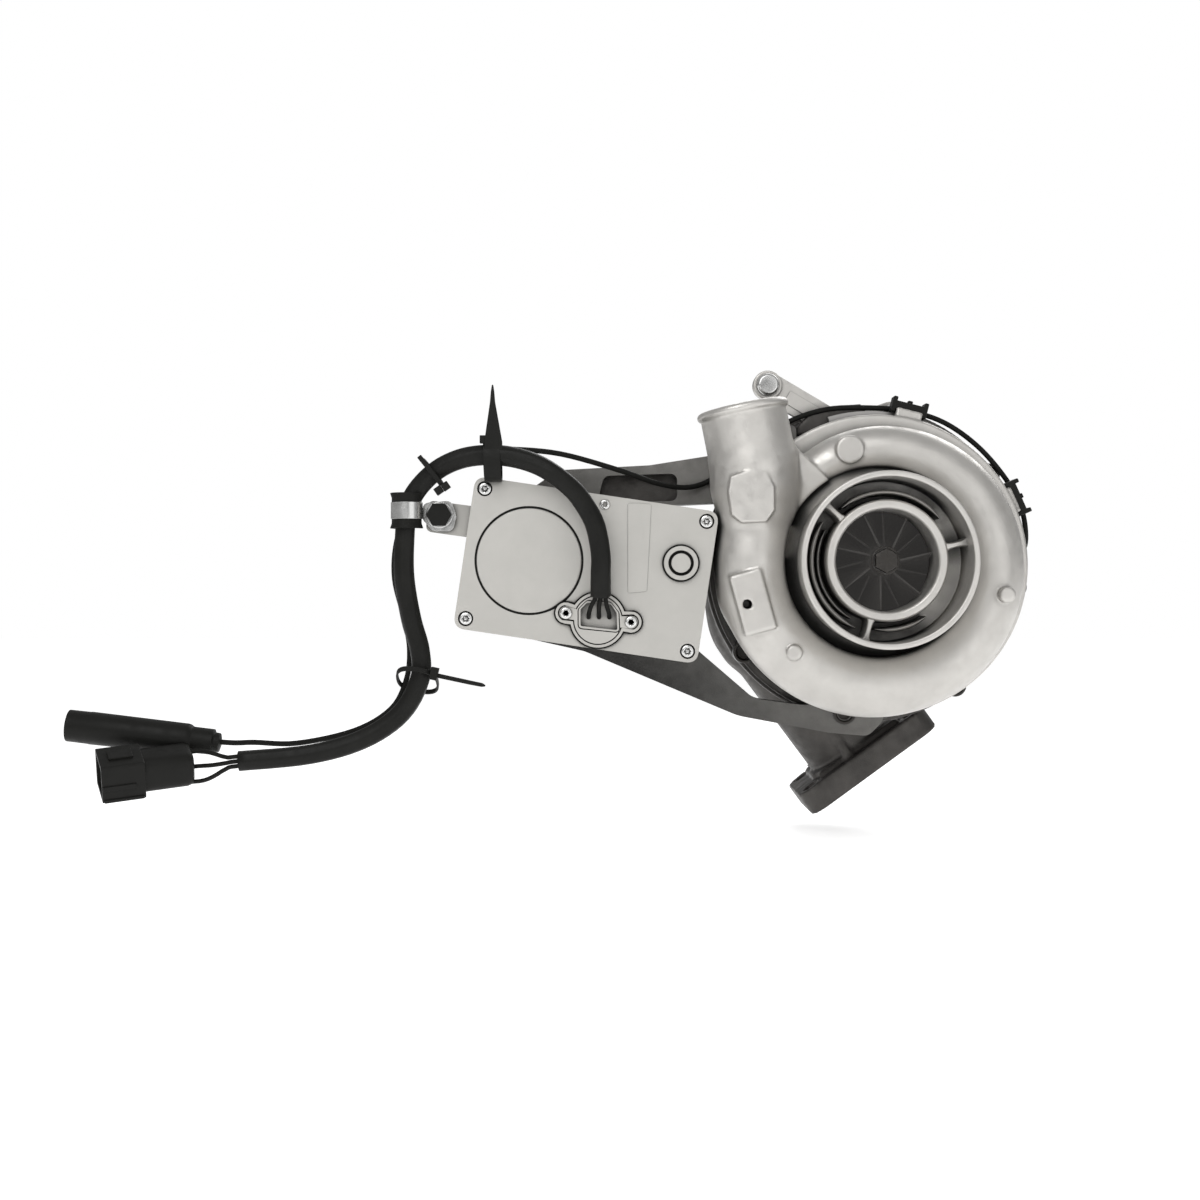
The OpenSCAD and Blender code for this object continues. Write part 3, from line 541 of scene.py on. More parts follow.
def strap_loop(centre, slope, half_w, half_h, wide=4.4, thick=1.3, rise=0.0):
    """A cable tie's closed loop round a bundle that runs at a slope in degrees.

    rise tips the loop, so that its far side is higher than its near side.
    """
    along = Vector((math.cos(math.radians(slope)), 0, math.sin(math.radians(slope))))
    across = Vector((-along.z, 0, along.x))
    depth = Vector((0, 1, rise))
    points, faces = [], []
    steps = 40
    for k in range(steps):
        a = 2 * math.pi * k / steps
        squash = [math.copysign(abs(f(a)) ** 0.75, f(a)) for f in (math.cos, math.sin)]
        middle = Vector(centre) + squash[0] * half_w * across + squash[1] * half_h * depth
        out = (squash[0] * across + squash[1] * depth).normalized()
        for reach, lean in ((0, -1), (1, -1), (1, 1), (0, 1)):
            points.append(middle + out * reach * thick + along * lean * wide / 2)
    for k in range(steps):
        here, there = 4 * k, (k + 1) % steps * 4
        for c in range(4):
            faces.append([here + c, here + (c + 1) % 4, there + (c + 1) % 4, there + c])
    return points, faces


def ribbon(points, widths, thick):
    """A flat tail along (x, y, z) points, its width lying in the plane that faces the inlet."""
    line = [Vector(p) for p in points]
    corners, faces = [], []
    for i, p in enumerate(line):
        side, _ = sideways(line, i)
        for s, d in ((-1, 0), (1, 0), (1, 1), (-1, 1)):
            corners.append(p + side * s * widths[i] / 2 + Vector((0, d * thick, 0)))
    for i in range(len(line) - 1):
        for c in range(4):
            a, b = 4 * i + c, 4 * i + (c + 1) % 4
            faces.append([a, b, b + 4, a + 4])
    end = 4 * (len(line) - 1)
    faces += [[0, 1, 2, 3], [end, end + 1, end + 2, end + 3]]
    return corners, faces


def brick(centre, size, turn=0):
    """A block turned about Y, for heads and lugs that get their edges rounded."""
    cos, sin = math.cos(math.radians(turn)), math.sin(math.radians(turn))
    w, d, h = (s / 2 for s in size)
    points = []
    for y in (-d, d):
        for x, z in ((-w, -h), (w, -h), (w, h), (-w, h)):
            points.append((centre[0] + x * cos - z * sin, centre[1] + y,
                           centre[2] + x * sin + z * cos))
    faces = [[0, 1, 2, 3], [4, 5, 6, 7], [0, 1, 5, 4], [1, 2, 6, 5], [2, 3, 7, 6], [3, 0, 4, 7]]
    return points, faces


def make_ties():
    wide = joined(
        strap_loop((-227, 36, 58.5), 2, 11, 9.5, wide=10),
        brick((-231.4, 28.5, 70.5), (5.4, 4, 4.6)),
        ribbon([(-226, 26, 62), (-226.2, 26, 69), (-226.6, 26, 92), (-226.6, 26, 98),
                (-226.6, 26, 102)], [10.4, 10.4, 3, 2, 0.8], 1.6),
    )
    thin = joined(
        strap_loop((-263, 43, 52.6), 38, 8, 10.6, wide=2.8),
        ribbon([(-256.6, 30, 44.6), (-263, 30, 52.8), (-269.6, 30, 61)], [2.8, 2.8, 2.8], 1.4),
        brick((-258, 29.5, 41), (4.5, 4, 4.5), 35),
        brick((-254, 29.5, 43.4), (4.5, 4, 4.5), 35),
    )
    low = joined(
        strap_loop((-271.5, 42, -69.8), 82, 11.3, 11, wide=2.6, rise=-0.6),
        ribbon([(-259, 30.5, -66.5), (-240, 30.5, -70.6), (-233, 30.5, -72), (-231, 30.5, -72.5)],
               [2.6, 2.5, 2.3, 0.8], 1.4),
        brick((-260.7, 30.5, -65.4), (4.6, 4.5, 7.4), -12),
    )
    names = (("tie_top", wide), ("tie_thin", thin), ("tie_low", low))
    return [piece(name, *shape, "black_plastic", "root", "cable_ties", bevel=0.35)
            for name, shape in names]


SQUARE_PLACE = (-457, 36, -125.4)
SQUARE_TURN = (Matrix.Rotation(math.radians(21), 3, "Z") @ Matrix.Rotation(math.radians(-6), 3, "Y")
               @ Matrix.Rotation(math.radians(25), 3, "X"))


def make_square_connector():
    """A hollow square connector with its barrel behind, drawn along X and then turned."""
    cross = corner_loop([(-12.5, -12), (12.5, -12), (12.5, 12), (-12.5, 12)], 2)
    inner = corner_loop([(-10, -9.5), (10, -9.5), (10, 9.5), (-10, 9.5)], 1.5)
    barrel = corner_loop([(-11, -11), (11, -11), (11, 11), (-11, 11)], 7, 5)
    rings = [[(x, y, z) for y, z in loop]
             for loop, x in ((inner, 20), (inner, 0), (cross, 0), (cross, 25))]
    rear = [[(x, y * size, z * size) for y, z in barrel]
            for x, size in ((24, 1), (50, 1), (53, 0.92), (54, 0.75))]
    parts = []
    for loops in (rings, rear):
        count = len(loops[0])
        sides = [list(range(count)), [(len(loops) - 1) * count + k for k in range(count)]]
        for r in range(len(loops) - 1):
            for k in range(count):
                a, b = r * count + k, r * count + (k + 1) % count
                sides.append([a, b, b + count, a + count])
        parts.append(([p for ring in loops for p in ring], sides))
    parts += [brick((10, -12.6, -2), (19, 1.6, 3)), brick((12.5, -12.4, -10.4), (23, 2, 2)),
              brick((12.5, 0, 12.4), (14, 9, 2)), brick((14, 4, 0), (8, 1.6, 1.6)),
              brick((14, -4, 0), (8, 1.6, 1.6))]
    points, faces = joined(*parts)
    moved = [SQUARE_TURN @ Vector(p) + Vector(SQUARE_PLACE) for p in points]
    return piece("connector_square", moved, faces, "black_plastic", "root", "square_connector",
                 bevel=0.5)


SENSOR_PLACE = (-484, 68, -98)
SENSOR_LEAN = math.radians(6.5)


def make_sensor_connector():
    """A round connector along its sloping axis, with its mating collar and stepped rear."""
    profile = [[0, 4], [7.6, 4], [7.6, 0], [9.6, 0], [9.7, 13], [9.9, 13.6], [9.4, 72],
               [9, 73.6], [7.9, 75.4], [7.8, 88], [6, 88.4], [5.8, 91.6], [3, 92.4], [0, 92.4]]
    points, faces = turned(profile, soft=0.4, sides=48)
    cos, sin = math.cos(SENSOR_LEAN), math.sin(SENSOR_LEAN)
    moved = [(SENSOR_PLACE[0] + along * cos + across * sin, SENSOR_PLACE[1] + depth,
              SENSOR_PLACE[2] - along * sin + across * cos) for depth, along, across in points]
    return piece("connector_round", moved, faces, "black_plastic", "root", "sensor_connector",
                 bevel=0.3)


ties = make_ties()
square_connector = make_square_connector()
sensor_connector = make_sensor_connector()
make_cords()

# ---- castings, drawn as distance fields: negative inside the metal ----

VOXEL = 1.25


def blend(a, b, radius):
    """The union of two fields with a fillet of about that radius."""
    share = np.clip(0.5 + 0.5 * (b - a) / radius, 0, 1)
    return b * (1 - share) + a * share - radius * share * (1 - share)


def carve(a, b, radius=0.8):
    """Field a with b taken out of it."""
    return -blend(-a, b, radius)


def boxed(*sides):
    """The distance to a box-like shape, from its signed distances to each pair of sides."""
    outside = np.sqrt(sum(np.maximum(s, 0) ** 2 for s in sides))
    inside = np.maximum.reduce(sides)
    return outside + np.minimum(inside, 0)


def rod_field(p, centre, radius, y0, y1, soft=0.8):
    """A round rod along Y with soft edges."""
    around = np.hypot(p[0] - centre[0], p[2] - centre[1]) - radius + soft
    along = np.abs(p[1] - (y0 + y1) / 2) - (y1 - y0) / 2 + soft
    return boxed(around, along) - soft


def ring_field(p, inner, outer, y0, y1, soft=0.8):
    """A ring round the shaft with soft edges."""
    around = np.abs(np.hypot(p[0], p[2]) - (inner + outer) / 2) - (outer - inner) / 2 + soft
    along = np.abs(p[1] - (y0 + y1) / 2) - (y1 - y0) / 2 + soft
    return boxed(around, along) - soft


def cone_field(p, a, b, ra, rb):
    """A round cone from a to b, its radius going from ra to rb."""
    a, b = np.array(a, dtype=np.float32), np.array(b, dtype=np.float32)
    run = b - a
    rel = [p[k] - a[k] for k in range(3)]
    share = np.clip(sum(rel[k] * run[k] for k in range(3)) / run.dot(run), 0, 1)
    away = np.sqrt(sum((rel[k] - share * run[k]) ** 2 for k in range(3)))
    return away - (ra + (rb - ra) * share)


def polygon_field(p, corners, y0, y1, soft=0.8):
    """A convex (x, z) polygon from y0 to y1 with soft edges, its corners anticlockwise."""
    sides = []
    for k, (x0, z0) in enumerate(corners):
        x1, z1 = corners[(k + 1) % len(corners)]
        length = math.hypot(x1 - x0, z1 - z0)
        sides.append(((p[0] - x0) * (z1 - z0) - (p[2] - z0) * (x1 - x0)) / length + soft)
    across = np.maximum.reduce(sides)
    along = np.abs(p[1] - (y0 + y1) / 2) - (y1 - y0) / 2 + soft
    return boxed(across, along) - soft


def block_field(p, centre, half, turn=0, soft=0.8):
    """A soft-edged block turned about Y."""
    cos, sin = math.cos(math.radians(turn)), math.sin(math.radians(turn))
    x, y, z = (p[k] - centre[k] for k in range(3))
    u, v = x * cos + z * sin, z * cos - x * sin
    return boxed(np.abs(u) - half[0] + soft, np.abs(y) - half[1] + soft,
                 np.abs(v) - half[2] + soft) - soft


def turn_field(p):
    """Each point's angle round the shaft in degrees, seen from the inlet, from -180 to 180."""
    return np.degrees(np.arctan2(p[2], p[0]))


def cast(name, field, low, high, finish, body, *nodes, step=VOXEL):
    """Meshes a field between two corners, then moves each corner of the mesh onto the surface."""
    axes = [np.arange(low[k], high[k] + step, step, dtype=np.float32) for k in range(3)]
    grid = openvdb.FloatGrid(step)
    grid.copyFromArray(field(np.meshgrid(*axes, indexing="ij")).astype(np.float32))
    points, _, quads = grid.convertToPolygons(isovalue=0.0, adaptivity=0.0)
    points = (points * step + np.array(low)).T.astype(np.float64)
    nudge = 0.05
    for _ in range(3):
        value = field(points)
        slope = np.array([
            (field([points[j] + nudge * (j == k) for j in range(3)]) - value) / nudge
            for k in range(3)
        ])
        steep = np.maximum((slope ** 2).sum(axis=0), 0.3)
        points = points - np.clip(value / steep, -0.4 * step, 0.4 * step) * slope
    return piece(name, points.T.tolist(), quads.tolist(), finish, body, *nodes)


# ---- compressor ----

INLET_R, BORE_R = 50.8, 47.1
RIM_R = 93
OUTLET_POS = (-80.6, 50, 92)
OUTLET_LEAN = math.radians(11.5)
OUTLET_UP = (-math.sin(OUTLET_LEAN), 0, math.cos(OUTLET_LEAN))
OUTLET_R = 25.4
NECK = [(-72, 52, -18, 21.0), (-72.2, 51, 15, 21.6), (-72.2, 50.4, 30, 23.6), (-73, 50, 45, 26),
        (-73.6, 50, 58, 26.2)]


def along_outlet(distance):
    """The point on the outlet's axis that far above its rim."""
    return tuple(OUTLET_POS[k] + distance * OUTLET_UP[k] for k in range(3))


def scroll_field(p):
    """The scroll: it starts thin at 120 degrees and grows clockwise to the outlet neck."""
    turn = (120 - turn_field(p)) % 360
    grown = 77.7 + 19 * (np.clip(turn, 0, 300) / 300) ** 0.75
    fading = np.clip((turn - 300) / 45, 0, 1)
    outer = grown + (77.7 - 96.7) * fading * fading * (3 - 2 * fading) * (turn > 300)
    inner = 52
    radius = (outer - inner) / 2
    return np.hypot(np.hypot(p[0], p[2]) - (outer + inner) / 2, p[1] - 74 + radius) - radius


RIM_SHIFT = (2.4, -1.8)  # the rear rim's centre, off the shaft


def cover_field(p):
    around = np.hypot(p[0], p[2])
    scroll = scroll_field(p)
    neck = None
    stations = NECK + [(*along_outlet(-34), OUTLET_R + 0.3), (*along_outlet(8), OUTLET_R)]
    for (*a, ra), (*b, rb) in zip(stations, stations[1:]):
        part = cone_field(p, a, b, ra, rb)
        neck = part if neck is None else blend(neck, part, 1.5)
    height = sum((p[k] - OUTLET_POS[k]) * OUTLET_UP[k] for k in range(3))
    radial = np.sqrt(np.maximum(
        sum((p[k] - OUTLET_POS[k]) ** 2 for k in range(3)) - height ** 2, 0))
    bead = np.hypot(radial - 24.7, height + 2.6) - 2.6
    lip = boxed(np.abs(radial - 23.6) - 1.7 + 0.6, np.abs(height + 3) - 3 + 0.6) - 0.6
    body = blend(scroll, np.maximum(neck, height + 2), 7)
    body = blend(np.minimum(body, lip), bead, 0.5)
    off_centre = [p[0] - RIM_SHIFT[0], p[1], p[2] - RIM_SHIFT[1]]
    body = blend(body, ring_field(off_centre, 60, RIM_R - 2, 69.5, 83, 1.6), 2.5)
    for angle in (76, 24):
        body = blend(body, block_field(p, (*polar(92, angle)[:1], 78, polar(92, angle)[1]),
                                       (3, 5, 8), angle, 0.8), 1)
    body = blend(body, rod_field(p, (-17.2, 66.1), 8.3, 43, 60, 0.9), 0.8)
    body = blend(body, rod_field(p, (72.7, -19.6), 4.7, 30, 56, 0.7), 0.7)
    body = blend(body, rod_field(p, (-51.5, -53.3), 4.7, 28.8, 56, 0.7), 0.7)
    gusset = polygon_field(p, [(-49.1, 24), (-27, 46.6), (-49.9, 69)], 47, 58, 1.2)
    body = blend(body, gusset, 1.6)
    shield = polygon_field(p, [(-88.4, 27), (-82.4, 22), (-68, 22.6), (-63.2, 29.4),
                               (-63.5, 42.7), (-68, 51.5), (-78.4, 52.8), (-89, 49),
                               (-90.4, 40.5)], 23.7, 46, 1)
    body = blend(body, shield, 0.6)
    pad = block_field(p, (-75.6, 38, -23.8), (9.5, 11.2, 18.2), 15.5, 1.4)
    body = blend(body, pad, 1.3)
    body = carve(body, rod_field(p, (-79, -25), 2.7, 20, 38, 0.4), 0.5)
    groove = ring_field(p, BORE_R, 56.3, 20, 57, 1.5)
    body = carve(body, groove, 1.5)
    body = carve(body, around - 49.4, 0.5)
    outlet_void = cone_field(p, along_outlet(12), along_outlet(-36), 22, 22)
    outlet_void = np.minimum(outlet_void, cone_field(p, along_outlet(-36), NECK[3][:3], 22, 22))
    outlet_void = np.minimum(outlet_void, cone_field(p, NECK[3][:3], NECK[1][:3], 22, 19.5))
    body = carve(body, outlet_void, 0.5)
    body = carve(body, ring_field(p, -10, 62.3, 66.6, 90, 0.3), 0.4)
    return carve(body, ring_field(p, -10, 80.3, 78, 90, 0.3), 0.4)


def arc_bar(radius, width, y0, y1, start, end):
    """A round-topped bar on part of a circle about the shaft, with round ends."""
    steps = max(int(abs(end - start) / 4), 4)
    ends = 4
    angles = [start + (end - start) * k / steps for k in range(steps + 1)]
    section = [(-1, 1), (-1, 0.16), (-0.7, 0.04), (0, 0), (0.7, 0.04), (1, 0.16), (1, 1)]
    points, faces = [], []
    for k, angle in enumerate(angles):
        taper = min(1, (min(k, steps - k) + 0.6) / ends) ** 0.5
        for across, down in section:
            x, z = polar(radius + across * taper * width / 2, angle)
            points.append((x, y0 + (y1 - y0) * down, z))
    count = len(section)
    for k in range(steps):
        for c in range(count):
            a, b = k * count + c, k * count + (c + 1) % count
            faces.append([a, b, b + count, a + count])
    faces.append(list(range(count)))
    faces.append([steps * count + c for c in range(count)])
    return points, faces


def inlet_rib(angle):
    """A rib from the inner ring to the inlet tube, waisted in the middle."""
    points, faces = [], []
    steps = 6
    x, z = polar(1, angle)
    for k in range(steps + 1):
        reach = 34.4 + 13.2 * k / steps
        half = 1.5 + 1.3 * (2 * k / steps - 1) ** 4
        for side, y in ((-1, 38.5), (-1, 15.2), (-0.6, 14.4), (0.6, 14.4), (1, 15.2), (1, 38.5)):
            points.append((x * reach - z * side * half, y, z * reach + x * side * half))
    for k in range(steps):
        for c in range(6):
            a, b = 6 * k + c, 6 * k + (c + 1) % 6
            faces.append([a, b, b + 6, a + 6])
    return points, faces


def shroud_curve():
    """The shroud from the diffuser in to the inducer bore, as (radius, y)."""
    return [(42 - 12.7 * math.sin(math.radians(a)), 44 + 16.6 * math.cos(math.radians(a)))
            for a in range(0, 91, 10)]


def make_cover():
    cast("cover_casting", cover_field, (-112, 20, -98), (100, 86, 108), "cover_casting", "root",
         "compressor_cover")
    inlet = turned(
        shroud_curve() + [(29.3, 14.6), (30.6, 13), (34.2, 13), (35.2, 14.4), (35.2, 38),
                          (BORE_R, 38), (BORE_R, 5), (BORE_R + 0.3, 0), (INLET_R, 0), (INLET_R, 5.6),
                          (49.4, 7.8), (49.4, 42), (53.5, 49), (57, 53), (57, 60.6)],
        soft=1.1, sides=160)
    ribs = [inlet_rib(a) for a in (137, 13, -105)]
    bars = [arc_bar(42.3, 3.4, 22, 38.5, 148, 246), arc_bar(39.4, 3.2, 20, 38.5, 38, 130),
            arc_bar(39.8, 3.2, 21, 38.5, -99, -54), arc_bar(38.4, 2.6, 25, 38.5, 152, 240)]
    piece("inlet_ring", *joined(inlet, *ribs, *bars), "cover_casting", "root", "compressor_cover",
          bevel=0.3)


def blade(count, k, hub, tip, wrap, thick, steps=10, lean=0):
    """One curved wheel blade between hub and tip curves of (radius, y, angle share)."""
    base = 360 * k / count
    points, faces = [], []
    for s in range(steps + 1):
        t = s / steps
        row = []
        for path in (hub, tip):
            spot = t * (len(path) - 1)
            low = min(int(spot), len(path) - 2)
            radius, y = (path[low][j] + (path[low + 1][j] - path[low][j]) * (spot - low)
                         for j in range(2))
            row.append((radius, y))
        for (radius, y), root in zip(row, (1, 0)):
            angle = base + wrap * t * t + lean * (1 - root) * (1 - t)
            half = math.degrees(thick * (0.6 + 0.6 * root) / 2 / radius)
            for side in (-1, 1):
                x, z = polar(radius, angle + side * half)
                points.append((x, y, z))
    for s in range(steps):
        a, b = 4 * s, 4 * s + 4
        faces += [[a, a + 1, b + 1, b], [a + 2, b + 2, b + 3, a + 3], [a, b, b + 2, a + 2],
                  [a + 1, a + 3, b + 3, b + 1]]
    faces += [[0, 2, 3, 1], [4 * steps, 4 * steps + 1, 4 * steps + 3, 4 * steps + 2]]
    return points, faces


def make_compressor_wheel():
    hub = [(7.6, 29), (8.6, 34), (9.8, 40), (12.2, 46), (15.8, 52), (21, 57), (28, 61), (34, 63),
           (40.6, 64)]
    tip = [(28.3, 29), (28.4, 36), (28.5, 42.5), (29.6, 48.4), (31.4, 52.6), (33.8, 56.4),
           (36.6, 58.9), (39, 60.3), (40.6, 61.2)]
    body = turned([(4, 22), (8.2, 22), (8.6, 28), (9, 34), (10.4, 40), (13, 46.4), (17, 52.6),
                   (22.4, 57.6), (29, 61.4), (41, 64.4), (41, 65.9), (4, 65.9)], soft=0.5)
    blades = [blade(14, k, hub[2 * (k % 2):], tip[2 * (k % 2):], -46, 1.1, lean=10)
              for k in range(14)]
    piece("compressor_wheel_body", *joined(body, *blades), "wheel_alloy", "rotor",
          "compressor_wheel", bevel=0.15)
    nut = joined(
        hexagon((0, 0), 13, 15, 20.5), turned([(4, 20.3), (8.4, 20.3), (8.4, 21.9), (4, 21.9)]))
    piece("compressor_nut", *nut, "black_steel", "rotor", "compressor_locknut", bevel=0.3)


make_cover()
make_compressor_wheel()

# ---- turbine ----


def on_foot(x, y, z):
    """A point of the turbine foot's own frame, +Z out of its face, in the shaft frame."""
    b = math.pi - FOOT_TILT
    return (FOOT.x + x * math.cos(b) + z * math.sin(b), FOOT.y + y,
            FOOT.z - x * math.sin(b) + z * math.cos(b))


def foot_frame(p):
    """The fields of a point's place in the turbine foot's own frame."""
    b = math.pi - FOOT_TILT
    dx, dy, dz = p[0] - FOOT.x, p[1] - FOOT.y, p[2] - FOOT.z
    return dx * math.cos(b) - dz * math.sin(b), dy, dx * math.sin(b) + dz * math.cos(b)


FOOT_HALF = (49, 40)
FOOT_BOLTS = [(x, y) for x in (-39, 39) for y in (-29, 29)]
FOOT_THICK = 16
FLANGE_R, FLANGE_BOLT_R = 99, 93
FLANGE_ANGLES = [216 - 45 * k for k in range(8)]


def volute_field(p):
    """The turbine volute: widest at the foot's duct, shrinking clockwise."""
    turn = (216 - turn_field(p)) % 360
    share = np.clip(turn / 335, 0, 1)
    outer = 101.5 - 26 * share
    fading = np.clip((turn - 335) / 25, 0, 1)
    outer = outer + 26 * fading * fading * (3 - 2 * fading)
    radius = (outer - 52) / 2
    return np.hypot(np.hypot(p[0], p[2]) - (outer + 52) / 2, p[1] - 128 - radius) - radius


def turbine_field(p):
    around = np.hypot(p[0], p[2])
    u, v, w = foot_frame(p)
    duct = np.maximum(cone_field(p, (-66, 150.5, -38), on_foot(0, 0, -8), 25.5, 31), w + 6)
    foot = boxed(np.abs(u) - FOOT_HALF[0] + 11, np.abs(v) - FOOT_HALF[1] + 11) - 11
    plate = boxed(foot + 1.2, np.abs(w + FOOT_THICK / 2) - FOOT_THICK / 2 + 1.2) - 1.2
    land = boxed(np.maximum(np.abs(u) - 33, np.abs(v) - 33), np.abs(w + 16.5) - 1.5) - 1.5
    rib = block_field([u, v, w], (8, -27, -30), (2.6, 9, 18), 0, 2)
    body = blend(volute_field(p), duct, 10)
    body = blend(body, plate, 3.5)
    body = blend(body, land, 2)
    body = blend(body, rib, 3)
    body = blend(body, ring_field(p, 80, 97, 116, 134, 2), 6)
    neck = ring_field(p, 34, 46.5, 150, 218, 1.2)
    body = blend(body, blend(neck, ring_field(p, 28, 58, 140, 151, 1.5), 5), 7)
    flange = ring_field(p, 84, FLANGE_R, 112, 122, 1.2)
    for angle in FLANGE_ANGLES:
        flange = blend(flange, rod_field(p, polar(FLANGE_BOLT_R - 3, angle), 9, 112, 125, 1), 3)
    body = blend(body, flange, 2.5)
    body = carve(body, ring_field(p, -10, 85, 90, 131, 0.5), 0.6)
    body = carve(body, ring_field(p, -10, 60, 120, 141.9, 0.5), 0.6)
    bore = around - np.interp(p[1], [140, 168, 205, 226], [31.4, 31.4, 38, 42])
    body = carve(body, bore, 0.6)
    port = boxed(np.abs(u) - 25 + 8, np.abs(v) - 22 + 8) - 8
    port = np.maximum(port, np.abs(w + 4) - 14)
    body = carve(body, port, 1)
    body = carve(body, cone_field(p, on_foot(0, 0, -30), (-66, 150.5, -38), 23, 20), 2)
    for x, y in FOOT_BOLTS:
        body = carve(body, np.maximum(np.hypot(u - x, v - y) - 5.25, np.abs(w) - 40), 0.5)
        body = carve(body, np.maximum(np.hypot(u - x, v - y) - 9.5, np.abs(w + 24) - 8), 0.8)
    return body


def make_turbine():
    cast("turbine_casting", turbine_field, (-114, 110, -166), (114, 222, 112), "iron_casting",
         "root", "turbine_housing", step=VOXEL * 1.2)
    band = turned([(43, 214), (46.4, 214), (53.8, 217.8), (53.8, 222), (50.4, 225), (42.2, 225),
                   (42, 222)], soft=0.8, sides=128)
    piece("turbine_outlet_flange", *band, "iron_casting", "root", "turbine_housing")


def make_turbine_wheel():
    hub = [(30, 131.8), (24, 138), (19, 144), (15, 151), (12.5, 157), (11, 164)]
    tip = [(37.6, 132), (37.2, 138), (34.5, 143), (32, 149), (31, 156), (30.8, 164)]
    body = turned([(0, 16), (4, 16), (4, 79), (6.5, 79), (6.5, 117), (9, 117), (9, 128),
                   (14, 130.8), (36, 131.4), (36, 132.6), (25, 139), (19, 145.6), (15, 152),
                   (12, 160), (10, 168), (7.4, 172), (0, 172)], soft=0.8)
    blades = [blade(11, k, hub, tip, 38, 1.6) for k in range(11)]
    piece("shaft_and_turbine_wheel", *joined(body, *blades), "steel", "rotor",
          "turbine_shaft_wheel", bevel=0.2)


make_turbine()
make_turbine_wheel()

# ---- bearing housing ----

# Angle, outer radius, bore radius and reach of the oil inlet, oil drain and sensor ports
PORTS = [(58, 12, 5, 52), (-76.5, 12.5, 7.5, 62), (0, 9, 5, 56)]
PORT_Y = 96
PORT_FAR = 80


def bearing_field(p):
    """The waist between two flanges, with its ports and the lobe in front of the lifting arm."""
    body = ring_field(p, 9.4, 55, 83, 90, 1)
    body = blend(body, ring_field(p, 9.4, 40, 83, 106, 1), 3)
    body = blend(body, ring_field(p, 9.4, 97, 104.2, 110.8, 1), 3)
    body = blend(body, ring_field(p, 9.4, 52.9, 104.2, 120, 0.6), 0.5)
    body = blend(body, ring_field(p, 9.4, 36, 104.2, 127, 0.6), 2)
    for angle, radius, bore, reach in PORTS:
        x, z = polar(1, angle)
        boss = cone_field(p, (30 * x, PORT_Y, 30 * z), (PORT_FAR * x, PORT_Y, PORT_FAR * z),
                          radius, radius)
        body = blend(body, np.maximum(boss, p[0] * x + p[2] * z - reach), 2.5)
    for angle, radius, bore, reach in PORTS:
        x, z = polar(1, angle)
        hole = cone_field(p, (22 * x, PORT_Y, 22 * z), (PORT_FAR * x, PORT_Y, PORT_FAR * z),
                          bore, bore)
        body = carve(body, hole, 0.4)
    lobe = polygon_field(p, [(-1.8, 78), (-1.8, 95), (-4.8, 97.5), (-20, 96.3), (-36, 92),
                             (-43.5, 84), (-44, 78)], 88, 97, 1.2)
    body = blend(body, lobe, 0.5)
    return blend(body, block_field(p, (-36, 100, 79), (5, 7, 4)), 1)


cast("bearing_casting", bearing_field, (-102, 80, -102), (102, 130, 102), "iron_casting", "root",
     "bearing_housing", step=VOXEL * 1.2)

# ---- actuator ----

CASE_POS = (-172.5, -5)
CASE_TILT = math.radians(8.4)
CASE_W, CASE_H, CASE_CORNER = 144.5, 90, 7
CASE_FRONT, CASE_JOINT, CASE_BACK = 40, 50, 90
MOTOR_POS, MOTOR_CAP_R = (-206, 0.5), 30.7
SHAFT_POS = (-117, -1)
PLATE_POS = (-165.6, -34.3)
PLATE_EARS = ((-184.3, -30.2), (-146.3, -35.5))
SCREW_INSET = 6.5


def in_case(x, z):
    """A point of the sloping actuator case as (x, z) in the shaft frame."""
    return (CASE_POS[0] + x * math.cos(CASE_TILT) + z * math.sin(CASE_TILT),
            CASE_POS[1] - x * math.sin(CASE_TILT) + z * math.cos(CASE_TILT))


def case_loop(inset=0.0):
    w, h = CASE_W / 2 - inset, CASE_H / 2 - inset
    corners = [in_case(x, z) for x, z in ((-w, -h), (w, -h), (w, h), (-w, h))]
    return corner_loop(corners, CASE_CORNER - inset / 2, 8)


CASE_SCREWS = [in_case(x * (CASE_W / 2 - SCREW_INSET), z * (CASE_H / 2 - SCREW_INSET))
               for x in (-1, 1) for z in (-1, 1)]


def socket_loop(grow=0.0):
    """The D-shaped recess where the wires enter, its flat side down."""
    return corner_loop([(-177 - grow, -39 - grow), (-153 + grow, -41.5 - grow),
                        (-153.5 + grow, -30), (-158, -24 + grow), (-172, -23 + grow),
                        (-177 - grow, -28)], 2.5 + grow)


def ear_plate_loop(grow=0.0):
    """Outline of the connector plate: a disc with two ears."""
    loop = []
    radius, ear_radius = 16.1 + grow, 6.2 + grow
    for k in range(120):
        angle = math.radians(3 * k)
        reach = radius
        for ear in PLATE_EARS:
            dx, dz = ear[0] - PLATE_POS[0], ear[1] - PLATE_POS[1]
            away, facing = math.hypot(dx, dz), math.atan2(dz, dx)
            turn = (angle - facing + math.pi) % (2 * math.pi) - math.pi
            if abs(turn) < math.pi / 2 and abs(away * math.sin(turn)) < ear_radius:
                far = away * math.cos(turn) + math.sqrt(
                    ear_radius ** 2 - (away * math.sin(turn)) ** 2)
                reach = max(reach, far)
        loop.append((PLATE_POS[0] + reach * math.cos(angle), PLATE_POS[1] + reach * math.sin(angle)))
    return loop


